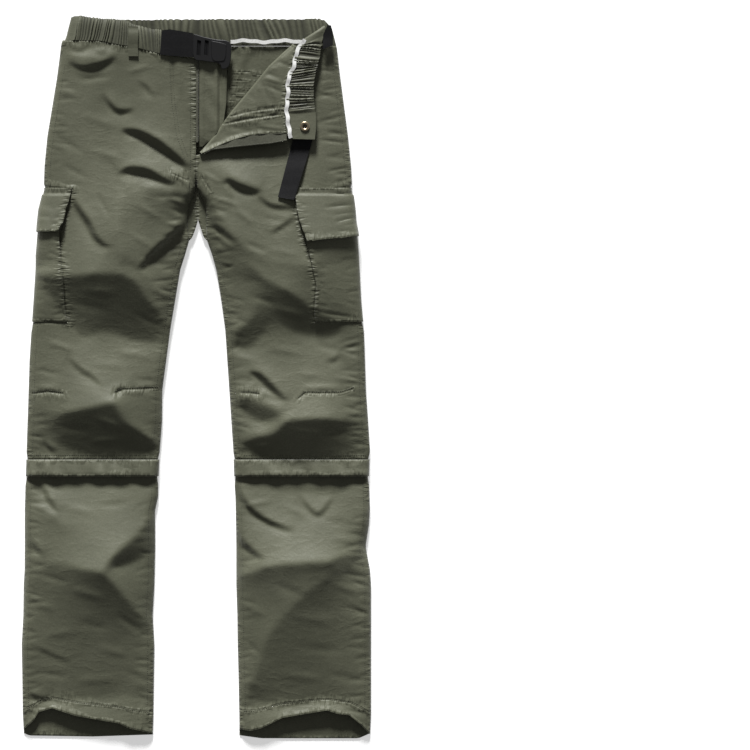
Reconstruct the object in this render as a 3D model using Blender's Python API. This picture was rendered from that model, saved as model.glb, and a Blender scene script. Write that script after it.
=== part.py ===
"""Zip-off trousers laid flat with the front up, the fly open and one corner turned back.

Lengths in the tables are millimetres: x runs across the garment, y from the hems
to the waist, z up from the floor.  Every piece is built in metres.
"""

import bpy
import bmesh
import numpy as np

MM = 0.001

# Cloth and seams
WALL = 1.5
SEAM = 0.3
BAND_WALL = 2.0
WEBBING_WALL = 1.6
STACK = WALL + SEAM

# Heights of the layers
HIP_BASE = 2 * STACK
KNEE_BASE = STACK
RELIEF_GAIN = 1.15
RELIEF_FLOOR = 7.0
SIDE_ROUND = 14.0
TURN_GAP = 4.0

# Stations down the garment
WAIST_Y = 482.0
CORNER_Y = 325.0
HEM_Y = -494.0
FLAP_TOP_Y = 276
FLAP_SEAM_Y = 267
POCKET_TOP_Y = 258
FLAP_END_RIGHT_Y = 212
FLAP_END_LEFT_Y = 197
POCKET_END_Y = 82

UPPER_ROWS = (482, 466, 450, 434, 418, 402, 386, 370, 354, 340, 325, 308, 292, 276, 267,
              258, 243, 228, 212, 205, 197, 182, 166, 150, 134, 118, 100, 82, 66, 50, 34,
              18, 2, -14, -30, -46, -62, -78, -94, -106, -118)
ZIP_ROWS = (-118.3, -127.7)
BAND_ROWS = (-118.3, -123, -127.8, -135, -142.6)
LOWER_ROWS = (-128, -143, -158, -173, -188, -204, -220, -236, -252, -268, -284, -300, -318,
              -336, -354, -372, -390, -408, -426, -444, -462, -478, -494)

# Side seams and inseams: y, right side, left side
SIDES = (
    (528, -180.5, 183), (519, -182.7, 187), (508, -185.6, 197), (496, -188.5, 200),
    (478, -195.8, 204.5), (440, -201.6, 208.8), (396, -208.8, 214.6), (352, -216.1, 220.4),
    (309, -220.4, 224.8), (278, -221.5, 226.5), (262, -225, 229.3), (244, -229.1, 231.5),
    (222, -230.6, 232), (200, -231, 233.8), (178, -233.5, 236.4), (157, -233.8, 237.8),
    (113, -236.4, 239.8), (70, -239.3, 243.6), (26, -242.2, 245.1), (-17, -243.6, 246.5),
    (-61, -245.1, 249.5), (-104, -246.5, 252.3), (-148, -248, 250.9), (-191, -249.4, 252.3),
    (-213, -249.4, 250.9), (-245, -249.4, 246), (-278, -249.6, 252.3), (-300, -250.9, 253.8),
    (-344, -251.5, 253.8), (-387, -253.8, 253.8), (-474, -252.3, 253.8), (-524, -248, 250.5),
)
# Front inner edges: y, right, left (centre front above the crotch, inseam below)
FRONT_INNER = (
    (290, -0.15, 0.15), (276, -0.8, 1.5), (265, -4, 6), (255, -9, 12), (243, -12, 14.2),
    (228, -12.8, 15), (212, -12, 14.8), (205, -9.8, 14.5), (197, -11, 16.5), (178, -16.5, 23.2),
    (157, -23.2, 29), (113, -30.5, 36.3), (70, -37.7, 42.1), (26, -43.5, 45), (-17, -49.3, 47.9),
    (-61, -49.6, 50.8), (-104, -53, 53.7), (-148, -55.1, 55.1), (-172, -55.4, 56.8),
    (-193, -60, 57.2), (-245, -59.7, 58), (-300, -60.9, 58), (-344, -63.4, 59.5),
    (-387, -60.9, 60), (-474, -62.4, 62.4), (-524, -64.5, 62.8),
)
# Back inner edges above the point where the two legs part: y, right, left
BACK_INNER = (
    (265, -0.15, 0.15), (212, 3.6, 3.9), (205, -6.5, 12.5), (197, -11, 16.5),
)
# Front edge of each cargo pocket, which is also a line of the front panel: y, right, left
POCKET_FRONT = (
    (278, -179, 143), (262, -182, 144), (245, -187, 146), (228, -190.5, 150), (212, -197, 155),
    (197, -197, 160), (166, -194, 168), (134, -191, 174.5), (100, -189.5, 172), (82, -187, 172),
)
# Back edge of each cargo pocket: y, right, left
POCKET_BACK = ((276, -184, 193), (200, -187, 196), (82, -212, 212))

# How far the seams draw in where a pocket, flap or band adds its own thickness: y, inset
DRAW_IN = (
    (282, 0), (274, 3.4), (214, 3.4), (200, 2.2), (84, 1.8), (66, 0),
    (-108, 0), (-117, 1.8), (-144, 1.8), (-156, 0),
)

# Height of the underside of the back panels: y, z
BASE = ((76, HIP_BASE), (-20, KNEE_BASE), (-150, KNEE_BASE), (-176, 0.0))

# Front edge of the right front panel at the waistband, and of both hems: x, y
WAIST_LINE = ((-192, 490), (-140, 489), (-110, 483), (-90, 480), (-55, 471), (-30, 468), (0, 463))
HEM_RIGHT = ((-252, -511), (-236, -497), (-229, -485), (-209, -479), (-175, -490), (-130, -498),
             (-112, -501), (-98, -508), (-64, -516))
HEM_LEFT = ((63, -510), (80, -512), (95, -508), (125, -493), (160, -487), (190, -482), (205, -487),
            (222, -489), (238, -502), (252, -517))
BACK_HEM = ((-253, -515), (-243, -519.5), (-150, -521), (-64, -518), (62, -519), (95, -523.5),
            (236, -523.5), (253, -516))

# Level of the front close to each edge: y, right side, right inner, left inner, left side
EDGE_LEVEL = (
    (520, 13, 12, 12, 13), (440, 13, 13, 12, 13), (330, 13, 14, 13, 13), (265, 13, 18, 18, 13),
    (200, 13, 12, 12, 13), (150, 14, 12, 12, 13), (100, 13, 11, 11, 12), (50, 12, 10, 11, 12),
    (-20, 13, 13, 13, 13), (-60, 12, 13, 14, 13), (-110, 9, 10, 10, 9), (-150, 9, 9, 9, 9),
    (-200, 13, 13, 13, 14), (-270, 15, 11, 13, 12), (-360, 12, 11, 11, 12), (-470, 9, 9, 9, 9),
    (-525, 8, 8, 8, 8),
)

# Ridges and hollows of the laid cloth, one row each: name, points (x, y, level)
LINES = (
    ("seat seam right", ((-192, 480, 13), (-150, 480, 15), (-100, 478, 15), (-52, 472, 14),
                         (-5, 465, 12))),
    ("bulge under band", ((-180, 469, 17), (-150, 464, 19), (-125, 471, 18), (-112, 479, 16))),
    ("thigh swell", ((-105, 262, 26), (-112, 215, 31), (-105, 170, 34))),
    ("crotch strand right", ((-68, 277, 25), (-40, 274, 23), (-8, 267, 19))),
    ("thigh crest right", ((-230, 152, 17), (-192, 147, 25), (-150, 151, 32), (-108, 151, 34),
                           (-87, 142, 31), (-70, 114, 24), (-50, 92, 16), (-42, 76, 12))),
    ("thigh valley right", ((-233, 138, 14), (-206, 114, 13), (-189, 86, 11), (-165, 58, 9),
                            (-130, 71, 10), (-95, 56, 8), (-60, 51, 8), (-42, 53, 9))),
    ("knee crest right", ((-233, -30, 14), (-208, -56, 18), (-184, -48, 25), (-155, -43, 29),
                          (-119, -34, 32), (-105, -61, 26), (-76, -80, 20), (-56, -97, 14))),
    ("knee valley right", ((-217, -76, 13), (-214, -89, 11), (-194, -99, 9), (-163, -112, 7),
                           (-120, -117, 7), (-100, -109, 8), (-80, -103, 9), (-56, -101, 10))),
    ("band hollow right", ((-243, -150, 8), (-200, -160, 8), (-130, -158, 8), (-62, -156, 8))),
    ("calf strand right", ((-226, -186, 16), (-206, -200, 19), (-190, -216, 21))),
    ("calf crest right", ((-240, -268, 15), (-200, -269, 25), (-160, -277, 34), (-134, -281, 37))),
    ("shin crest right", ((-62, -197, 13), (-85, -228, 22), (-114, -252, 31), (-134, -281, 37))),
    ("shin valley right", ((-61, -251, 9), (-75, -260, 12), (-95, -268, 17), (-116, -272, 25))),
    ("shin strand right", ((-134, -281, 37), (-117, -298, 32), (-98, -322, 25), (-80, -345, 17),
                           (-67, -358, 12))),
    ("hem valley right", ((-238, -462, 8), (-214, -466, 7), (-178, -468, 7), (-140, -465, 7),
                          (-96, -459, 7), (-80, -464, 7), (-64, -487, 7))),
    ("hem rim right", ((-212, -478, 11), (-175, -489, 12), (-130, -497, 12), (-98, -507, 11),
                       (-66, -514, 8))),
    ("seat seam left", ((45, 470, 11), (90, 470, 12), (150, 474, 13), (204, 478, 13))),
    ("under turned corner", ((5, 335, 9), (60, 338, 9), (120, 345, 9), (170, 345, 12))),
    ("under corner ridge", ((40, 309, 15), (52, 295, 18), (72, 285, 20), (100, 272, 20),
                            (122, 263, 19))),
    ("crotch strand left", ((14, 259, 18), (35, 233, 21), (60, 201, 25), (90, 177, 27),
                            (128, 166, 28), (172, 162, 26))),
    ("thigh crest left", ((29, 189, 15), (60, 175, 21), (80, 162, 25), (100, 142, 28), (130, 129, 30),
                          (150, 117, 27), (170, 98, 21), (205, 86, 15))),
    ("thigh hollow left", ((34, 150, 10), (46, 137, 13), (64, 141, 17), (80, 140, 20), (96, 141, 25))),
    ("inner spur left", ((52, 60, 12), (62, 71, 15), (76, 83, 17), (87, 96, 19), (90, 110, 21))),
    ("thigh valley left", ((57, 46, 8), (70, 41, 8), (82, 46, 9), (95, 62, 11), (113, 84, 16),
                           (140, 69, 12), (165, 63, 10), (195, 59, 10), (208, 67, 11))),
    ("dart ridge left", ((63, -27, 17), (90, -34, 20), (112, -43, 23), (128, -52, 24))),
    ("dart valley left", ((53, -43, 12), (68, -47, 12), (82, -59, 12), (98, -65, 14), (117, -59, 20))),
    ("knee crest left", ((57, -98, 11), (72, -92, 14), (88, -84, 18), (110, -82, 21), (122, -72, 25),
                         (132, -61, 29), (160, -59, 30), (188, -58, 28), (216, -61, 22), (231, -46, 16))),
    ("knee valley left", ((75, -101, 10), (92, -113, 7), (112, -119, 7), (160, -118, 8), (226, -118, 8))),
    ("band hollow left", ((62, -148, 8), (100, -158, 8), (135, -166, 8), (200, -168, 8), (246, -148, 8))),
    ("calf crest left", ((62, -288, 15), (80, -284, 21), (100, -272, 30), (135, -268, 35),
                         (170, -266, 36), (197, -267, 33))),
    ("calf step left", ((201, -262, 31), (222, -254, 22), (244, -247, 13))),
    ("calf foot left", ((205, -278, 27), (221, -284, 18), (243, -293, 12))),
    ("shin strand left", ((190, -288, 30), (160, -308, 30), (140, -330, 27), (120, -352, 23),
                          (104, -375, 20), (96, -400, 17), (86, -430, 14), (74, -456, 10))),
    ("hem valley left", ((68, -478, 7), (92, -470, 7), (125, -476, 7), (150, -475, 7), (174, -468, 7),
                         (192, -465, 7), (215, -471, 7), (243, -471, 8))),
    ("hem rim left", ((66, -509, 8), (95, -506, 11), (125, -492, 12), (160, -486, 12), (190, -481, 13),
                      (215, -489, 12), (238, -501, 10), (249, -512, 8))),
)

# Folds with one steep side: name, crest points (x, y), drop, reach of the steep side
FOLDS = (
    ("hip fold", ((-184, 460), (-166, 453), (-145, 456), (-115, 466)), 6, 8),
    ("hip crescent", ((-133, 412), (-122, 399), (-110, 390), (-89, 391)), 5, 7),
    ("drag fold", ((-108, 361), (-80, 359), (-50, 344), (-20, 318), (-10, 303)), 12, 13),
    ("arch fold", ((-113, 296), (-97, 306), (-70, 305), (-46, 292), (-28, 281)), 10, 13),
    ("pocket fold", ((-181, 263), (-167, 248), (-150, 226), (-140, 204), (-122, 189)), 8, 11),
    ("groin fold", ((-84, 157), (-62, 188), (-36, 211), (-13, 233)), 11, 14),
    ("calf fold", ((-226, -149), (-214, -166), (-198, -194)), 6, 9),
    ("hip crescent left", ((38, 283), (48, 290), (64, 283), (95, 270)), 8, 11),
    ("knee fold left", ((76, 11), (96, 7), (115, -11), (134, -33)), 9, 12),
    ("calf arc left", ((60, -148), (68, -170), (81, -187), (105, -204), (142, -221)), 7, 8),
    ("calf arc left b", ((59, -212), (67, -230), (82, -246), (100, -261)), 7, 10),
)

# Turned-back corner, one row per upper row: y, fold x, outer edge x, outer edge y, sag of the row
CORNER = (
    (482, 143, 147.5, 481, 0), (466, 125, 143, 464, 0), (450, 108, 139.5, 450, 0), (434, 95, 134, 436, 0),
    (418, 82, 131, 421, 0), (402, 68.5, 131, 407, 0), (386, 55, 130, 394, 1), (370, 43, 129, 382, 2),
    (354, 33, 129, 370, 4), (340, 21, 130, 362, 8), (325, 8, 131.5, 354, 10),
)
# Turned-back front waistband, from its end tab to its fold: inner x, inner y, outer x, outer y, lift
TURNED_BAND = (
    (136.5, 346.5, 172.5, 345.5, 0.0), (133.2, 356, 173.6, 355, 0.0), (131.4, 368, 174.2, 368, 0.0),
    (131, 380, 174, 381, 0.0), (131.4, 386, 173, 389, 1.2), (132, 392, 172.4, 397, 0.0),
    (132.6, 398, 172, 404, 1.5), (133, 405, 171.4, 411, 0.0), (133, 412, 171.3, 418, 1.4),
    (133.2, 419, 171.5, 425, 0.0), (134, 426, 172, 431, 1.6), (135.5, 433, 173.5, 438, 0.2),
    (137.5, 440, 175, 445, 1.7), (140, 448, 177, 452, 0.0), (142.5, 456, 179, 459, 1.8),
    (144.5, 464, 180.5, 467, 0.2), (148, 473, 182, 478, 1.2), (157, 488, 189, 508, 0.3),
)
# Part of that band still lying under the fold
HIDDEN_BAND = ((176, 485.5, 194, 503), (193, 484.5, 197, 498))

# Lower edge of the left fly facing that hangs below the turned corner: x, y
ZIP_LIP = ((10, 324), (25, 331), (50, 334), (80, 337), (110, 340), (131, 344))

# Waistbands: x, top y
BACK_BAND_TOP = ((-182, 519), (-100, 520), (0, 521), (120, 521), (178, 521.5), (190, 518), (198, 506))
FRONT_BAND_TOP = ((-183, 524), (-176, 526.3), (-165, 526), (-155, 524), (-140, 522), (-105, 520),
                  (-85, 511), (-46, 504))
BACK_BAND_GATHERS = 44
FRONT_BAND_GATHERS = 26

# Back pockets and flaps: corner points (x, y), seen from above
BACK_POCKET_RIGHT = ((-47, 352), (-208, 379), (-216, 284), (-65, 260))
BACK_FLAP_RIGHT = ((-35.5, 414.6), (-193.6, 448), (-198.6, 381), (-123, 352), (-49.4, 353.8))
BACK_POCKET_LEFT = ((43, 352), (200, 379), (211, 283), (70, 260.3))
BACK_FLAP_LEFT = ((18.1, 414.7), (198.5, 444), (200.2, 383.4), (120, 356), (40.6, 359))

# Belt webbing seen beside the buckle and at the side, and the buckle half: corner points (x, y)
WEBBING_RIGHT = ((-52, 469), (-49.5, 504), (-38, 505.5), (-4.4, 500), (-3.4, 465), (-35, 467))
WEBBING_SIDE = ((183, 476), (189, 474.5), (199.5, 481), (199, 496), (196, 511), (191, 512),
                (184, 499))
BUCKLE = ((-4, 499), (13, 494), (30, 490.5), (44, 489), (51, 483), (50.5, 462), (47, 451),
          (38, 448), (33, 456), (12, 459.5), (-3, 464.5))

# Press stud: radius, height
SNAP_RING = ((3.0, 0.0), (6.6, 0.0), (7.2, 0.5), (6.9, 1.4), (5.6, 2.0), (4.0, 1.7), (3.0, 1.0))
SNAP_CORE = ((2.6, 0.0), (2.6, 0.7), (1.6, 1.1))

# Belt loops on the back: centre x, lower y, upper y, lean, width
BACK_LOOPS = ((-140, 477, 516, 6, 13), (-4.3, 475.6, 518, 0, 14), (167.5, 477, 522, -3, 13))


def column(table, index, y):
    """Value of one table column at a height, straight between its rows."""
    rows = sorted(table)
    ys = [r[0] for r in rows]
    return float(np.interp(y, ys, [r[index] for r in rows]))


def along(points, x):
    """Height of a line of (x, y) points at x."""
    rows = sorted(points)
    return float(np.interp(x, [r[0] for r in rows], [r[1] for r in rows]))


def base_z(y):
    """Underside of the back panels."""
    return column(BASE, 1, y)


def rim_z(y):
    """Lowest edge of the front, just above the back panel or the back waistband."""
    lift = float(np.interp(y, (466, 478), (0.0, 2.0)))
    return base_z(y) + STACK + lift


def curve(points, step):
    """Points along a smooth line through a few points."""
    p = np.asarray(points, float)
    ends = np.vstack([2 * p[0] - p[1], p, 2 * p[-1] - p[-2]])
    out = []
    for i in range(1, len(ends) - 2):
        a, b, c, d = ends[i - 1:i + 3]
        count = max(2, int(np.hypot(c[0] - b[0], c[1] - b[1]) / step))
        for k in range(count):
            t = k / count
            out.append(0.5 * (2 * b + (c - a) * t + (2 * a - 5 * b + 4 * c - d) * t ** 2
                              + (3 * b - a - 3 * c + d) * t ** 3))
    out.append(p[-1])
    return np.array(out)


class Relief:
    """Height of the front of the laid cloth, stretched over its ridges and hollows."""

    LOW = (-264.0, -532.0)
    HIGH = (264.0, 532.0)
    STEP = 4.0

    def __init__(self):
        step = self.STEP
        self.nx = int((self.HIGH[0] - self.LOW[0]) / step) + 1
        self.ny = int((self.HIGH[1] - self.LOW[1]) / step) + 1
        self.total = np.zeros((self.ny, self.nx))
        self.count = np.zeros((self.ny, self.nx))
        self.stamp_edges()
        for _, points in LINES:
            p = np.asarray(points, float)
            run = np.r_[0, np.cumsum(np.hypot(*np.diff(p[:, :2], axis=0).T))]
            s = np.arange(0, run[-1], step / 2)
            for x, y, z in zip(*(np.interp(s, run, p[:, k]) for k in range(3))):
                self.stamp(x, y, z)
        fixed = self.count > 0
        value = np.where(fixed, self.total / np.maximum(self.count, 1), 0)
        value = np.where(fixed, RELIEF_FLOOR + (value - RELIEF_FLOOR) * RELIEF_GAIN, 0)
        self.field = self.blur(self.stretch(fixed, value), 1)
        self.add_folds()
        self.field = self.blur(self.field, 1)

    def stamp(self, x, y, z):
        i = int(round((y - self.LOW[1]) / self.STEP))
        j = int(round((x - self.LOW[0]) / self.STEP))
        if 0 <= i < self.ny and 0 <= j < self.nx:
            self.total[i, j] += z
            self.count[i, j] += 1

    def stamp_edges(self):
        for y in np.arange(-528.0, 528.0, self.STEP / 2):
            self.stamp(column(SIDES, 1, y) + 7, y, column(EDGE_LEVEL, 1, y))
            self.stamp(column(SIDES, 2, y) - 7, y, column(EDGE_LEVEL, 4, y))
            inset = 0 if y > 276 else 7
            self.stamp(column(FRONT_INNER, 1, y) - inset, y, column(EDGE_LEVEL, 2, y))
            self.stamp(column(FRONT_INNER, 2, y) + inset, y, column(EDGE_LEVEL, 3, y))

    @staticmethod
    def stretch(fixed, value):
        levels = [(fixed, value)]
        while min(fixed.shape) > 10:
            ny, nx = fixed.shape
            count = np.zeros(((ny + 1) // 2, (nx + 1) // 2))
            total = np.zeros_like(count)
            iy, ix = np.nonzero(fixed)
            np.add.at(count, (iy // 2, ix // 2), 1)
            np.add.at(total, (iy // 2, ix // 2), value[iy, ix])
            fixed = count > 0
            value = np.where(fixed, total / np.maximum(count, 1), 0)
            levels.append((fixed, value))
        z = np.full(fixed.shape, value[fixed].mean())
        for held, level in reversed(levels):
            if z.shape != held.shape:
                z = np.repeat(np.repeat(z, 2, 0), 2, 1)[:held.shape[0], :held.shape[1]]
            z = np.where(held, level, z)
            for _ in range(80):
                p = np.pad(z, 1, mode="edge")
                z = 0.25 * (p[:-2, 1:-1] + p[2:, 1:-1] + p[1:-1, :-2] + p[1:-1, 2:])
                z = np.where(held, level, z)
        return z

    @staticmethod
    def blur(z, cells):
        for _ in range(2):
            for axis in (0, 1):
                total = np.zeros_like(z)
                for k in range(-cells, cells + 1):
                    index = np.clip(np.arange(z.shape[axis]) + k, 0, z.shape[axis] - 1)
                    total += np.take(z, index, axis=axis)
                z = total / (2 * cells + 1)
        return z

    def add_folds(self):
        xs = self.LOW[0] + self.STEP * np.arange(self.nx)
        ys = self.LOW[1] + self.STEP * np.arange(self.ny)
        gx, gy = np.meshgrid(xs, ys)
        for _, points, drop, reach in FOLDS:
            crest = curve(points, 3.0)
            run = np.gradient(crest, axis=0)
            run /= np.linalg.norm(run, axis=1)[:, None]
            near = (gx > crest[:, 0].min() - 45) & (gx < crest[:, 0].max() + 45)
            near &= (gy > crest[:, 1].min() - 45) & (gy < crest[:, 1].max() + 45)
            px, py = gx[near], gy[near]
            k = ((px[:, None] - crest[:, 0]) ** 2 + (py[:, None] - crest[:, 1]) ** 2).argmin(1)
            dx, dy = px - crest[k, 0], py - crest[k, 1]
            off = dx * run[k, 1] - dy * run[k, 0]
            past = dx * run[k, 0] + dy * run[k, 1]
            swell = np.sin(np.pi * k / (len(crest) - 1)).clip(0, 1) ** 0.6
            width = reach * np.maximum(swell, 0.25)
            turn = 0.5 - 0.5 * np.cos(np.pi * np.clip(off / width, 0, 1))
            rise = 0.45 * np.exp(np.minimum(off, 0) / (reach * 1.6))
            sink = -0.55 * np.exp(-np.maximum(off - width, 0) / (reach * 1.3))
            shape = np.where(off < 0, rise, np.where(off < width, 0.45 - turn, sink))
            self.field[near] += drop * shape * swell * np.exp(-(past / 6.0) ** 2)

    def level(self, x, y):
        u = np.clip((x - self.LOW[0]) / self.STEP, 0, self.nx - 1.001)
        v = np.clip((y - self.LOW[1]) / self.STEP, 0, self.ny - 1.001)
        i, j = int(v), int(u)
        s, t = u - j, v - i
        f = self.field
        return ((f[i, j] * (1 - s) + f[i, j + 1] * s) * (1 - t)
                + (f[i + 1, j] * (1 - s) + f[i + 1, j + 1] * s) * t)


def arch(distance):
    """Quarter-round rise from an edge, 0 at the edge and 1 at SIDE_ROUND."""
    s = min(max(distance / SIDE_ROUND, 0.0), 1.0)
    return (1 - (1 - s) ** 2) ** 0.5


class Leg:
    """One side of the garment: sign -1 is the image-left leg, +1 the other."""

    EDGE = (0.0, 0.134, 0.5, 1.0)

    def __init__(self, sign, relief):
        self.sign = sign
        self.index = 1 if sign < 0 else 2
        self.relief = relief

    def side(self, y):
        return column(SIDES, self.index, y) - self.sign * column(DRAW_IN, 1, y)

    def inner(self, y):
        x = column(FRONT_INNER, self.index, y)
        inset = float(np.interp(y, (-156, -144, -117, -108), (0, 1.8, 1.8, 0)))
        return x + self.sign * inset

    def back_inner(self, y):
        if y > 197:
            return column(BACK_INNER, self.index, y)
        return self.inner(y)

    def tilt(self, row, x):
        """Rows bend to follow the waist line, the left flap and the hem."""
        y = float(row)
        if self.sign < 0 and y > 434:
            y += (along(WAIST_LINE, x) - WAIST_Y) * (y - 434) / (WAIST_Y - 434)
        if self.sign > 0 and 150 < y < 243:
            reach = column(POCKET_FRONT, 2, y)
            share = min(max((x - reach) / (self.side(y) - reach), 0), 1)
            y += 9.0 * share * float(np.interp(y, (150, 197, 212, 243), (0, 1, 1, 0)))
        if y < -426:
            hem = along(HEM_RIGHT if self.sign < 0 else HEM_LEFT, x)
            y += (hem - HEM_Y) * ((-426 - y) / (-426 - HEM_Y)) ** 1.4
        return y

    def surface(self, x, y, x_side, x_in, soft):
        rim = rim_z(y)
        rise = arch(abs(x - x_side))
        rise *= 1 + soft * (arch(abs(x - x_in)) - 1)
        top = max(self.relief.level(x, y), rim + WALL)
        return rim + (top - rim) * rise

    def stations(self, row, near, far):
        """Column positions of a row from the side seam to the inner edge."""
        x_side, x_in = self.side(row), self.inner(row)
        step = -self.sign
        cols = [x_side + step * SIDE_ROUND * e for e in self.EDGE]
        start, stop = cols[-1], x_in - step * SIDE_ROUND
        pocket = column(POCKET_FRONT, self.index, row)
        share = (pocket - start) / (stop - start)
        blend = float(np.interp(row, (-118, 20, 82, 276, 330), (0, 0, 1, 1, 0)))
        mid = start + (stop - start) * (blend * share + (1 - blend) * near / (near + far))
        cols += [start + (mid - start) * (k + 1) / near for k in range(near)]
        cols += [mid + (stop - mid) * (k + 1) / far for k in range(far)]
        cols += [x_in - step * SIDE_ROUND * e for e in reversed(self.EDGE[:-1])]
        return cols

    def front_grid(self, rows, near, far, x_in_of=None):
        grid = []
        for row in rows:
            soft = float(np.interp(row, (262, 300), (1, 0)))
            cols = self.stations(row, near, far)
            if x_in_of and row >= CORNER_Y:
                x_in = x_in_of(row)
                shift = x_in - cols[-1]
                width = cols[-1] - cols[0]
                cols = [c + shift * (c - cols[0]) / width for c in cols]
            line = []
            for x in cols:
                y = self.tilt(row, x)
                line.append((x, y, self.surface(x, y, cols[0], cols[-1], soft)))
            grid.append(line)
        return np.array(grid)


def normals(grid):
    """Upward unit normals of a grid of points."""
    du = np.gradient(grid, axis=1)
    dv = np.gradient(grid, axis=0)
    n = np.cross(du, dv)
    n /= np.linalg.norm(n, axis=2)[:, :, None]
    n[n[:, :, 2] < 0] *= -1
    return n


def edge_normals(grid, sign, both=True):
    """Normals whose first column points straight out of the side seam."""
    n = normals(grid)
    n[:, 0] = (sign, 0, 0)
    if both:
        n[:, -1] = (-sign, 0, 0)
    return n


def make_material(name, colour, roughness, metallic=0.0):
    material = bpy.data.materials.new(name)
    material.use_nodes = True
    shader = material.node_tree.nodes["Principled BSDF"]
    shader.inputs["Base Color"].default_value = (*colour, 1.0)
    shader.inputs["Roughness"].default_value = roughness
    shader.inputs["Metallic"].default_value = metallic
    material.diffuse_color = (*colour, 1.0)
    return material


def add_solid(name, verts, faces, material):
    """Closed body from points in millimetres."""
    mesh = bpy.data.meshes.new(name)
    mesh.from_pydata([tuple(float(c) * MM for c in v) for v in verts], [], faces)
    bm = bmesh.new()
    bm.from_mesh(mesh)
    loose = [v for v in bm.verts if not v.link_faces]
    bmesh.ops.delete(bm, geom=loose, context="VERTS")
    bmesh.ops.recalc_face_normals(bm, faces=bm.faces)
    bmesh.ops.triangulate(bm, faces=[f for f in bm.faces if len(f.verts) > 3])
    bm.to_mesh(mesh)
    bm.free()
    mesh.polygons.foreach_set("use_smooth", [True] * len(mesh.polygons))
    mesh.set_sharp_from_angle(angle=0.7)
    mesh.materials.append(material)
    body = bpy.data.objects.new(name, mesh)
    PARTS.objects.link(body)
    return body


def sheet(name, outer, inner, material, keep=None, closed=False):
    """Wall between two grids of points, with its edges closed."""
    rows, cols = outer.shape[:2]
    wide = cols if closed else cols - 1
    if keep is None:
        keep = np.ones((rows - 1, wide), bool)
    half = rows * cols

    def at(j, i, layer):
        return layer * half + j * cols + i % cols

    def live(j, i):
        if closed:
            i %= cols
        return 0 <= j < rows - 1 and 0 <= i < wide and keep[j, i]

    faces = []
    for j in range(rows - 1):
        for i in range(wide):
            if not keep[j, i]:
                continue
            a, b, c, d = (j, i), (j, i + 1), (j + 1, i + 1), (j + 1, i)
            faces.append((at(*a, 0), at(*b, 0), at(*c, 0)))
            faces.append((at(*a, 0), at(*c, 0), at(*d, 0)))
            faces.append((at(*c, 1), at(*b, 1), at(*a, 1)))
            faces.append((at(*d, 1), at(*c, 1), at(*a, 1)))
            sides = (((j - 1, i), b, a), ((j + 1, i), d, c), ((j, i - 1), a, d), ((j, i + 1), c, b))
            for near, p, q in sides:
                if not live(*near):
                    faces.append((at(*p, 0), at(*q, 0), at(*q, 1)))
                    faces.append((at(*p, 0), at(*q, 1), at(*p, 1)))
    verts = np.concatenate([outer.reshape(-1, 3), inner.reshape(-1, 3)])
    return add_solid(name, verts, faces, material)


def plate(name, outline, low, high, material):
    """Flat piece between two heights."""
    count = len(outline)
    verts = [(x, y, low) for x, y in outline] + [(x, y, high) for x, y in outline]
    faces = [tuple(range(count)), tuple(range(2 * count - 1, count - 1, -1))]
    faces += [(k, (k + 1) % count, count + (k + 1) % count, count + k) for k in range(count)]
    return add_solid(name, verts, faces, material)


def strip(name, left, right, low, high, material, across=1):
    """Ribbon between two lines, given its lower and upper heights at every station."""
    left, right = np.asarray(left, float), np.asarray(right, float)
    shares = np.linspace(0, 1, across + 1)
    plan = np.stack([left + (right - left) * s for s in shares], axis=1)
    outer = np.dstack([plan, np.repeat(np.asarray(high, float)[:, None], across + 1, 1)])
    inner = np.dstack([plan, np.repeat(np.asarray(low, float)[:, None], across + 1, 1)])
    return sheet(name, outer, inner, material)


def front_inner_face(grid, n, wall):
    """Inner face of a front panel, kept clear of the back panel."""
    inner = grid - wall * n
    for j in range(grid.shape[0]):
        for i in range(grid.shape[1]):
            inner[j, i, 2] = max(inner[j, i, 2], rim_z(grid[j, i, 1]))
    inner[:, 0, 2] = grid[:, 0, 2]
    return inner


NEAR, FAR = 3, 8


def front_faces(leg, x_in_of=None):
    """Outer and inner points of one shorts front, with the outer face's normals."""
    grid = leg.front_grid(UPPER_ROWS, NEAR, FAR, x_in_of)
    n = edge_normals(grid, leg.sign, False)
    soft = np.array([np.interp(r, (262, 300), (1, 0)) for r in UPPER_ROWS])
    edge = np.array((-leg.sign, 0, 0))
    n[:, -1] = n[:, -1] * (1 - soft)[:, None] + edge * soft[:, None]
    n[:, -1] /= np.linalg.norm(n[:, -1], axis=1)[:, None]
    inner = front_inner_face(grid, n, WALL)
    inner[:, :, 1] = grid[:, :, 1]
    return grid, inner, n


def build_front_right(leg, cloth):
    grid, inner, n = front_faces(leg)
    sheet("front_shorts_right", grid, inner, cloth)
    return grid, n


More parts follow.
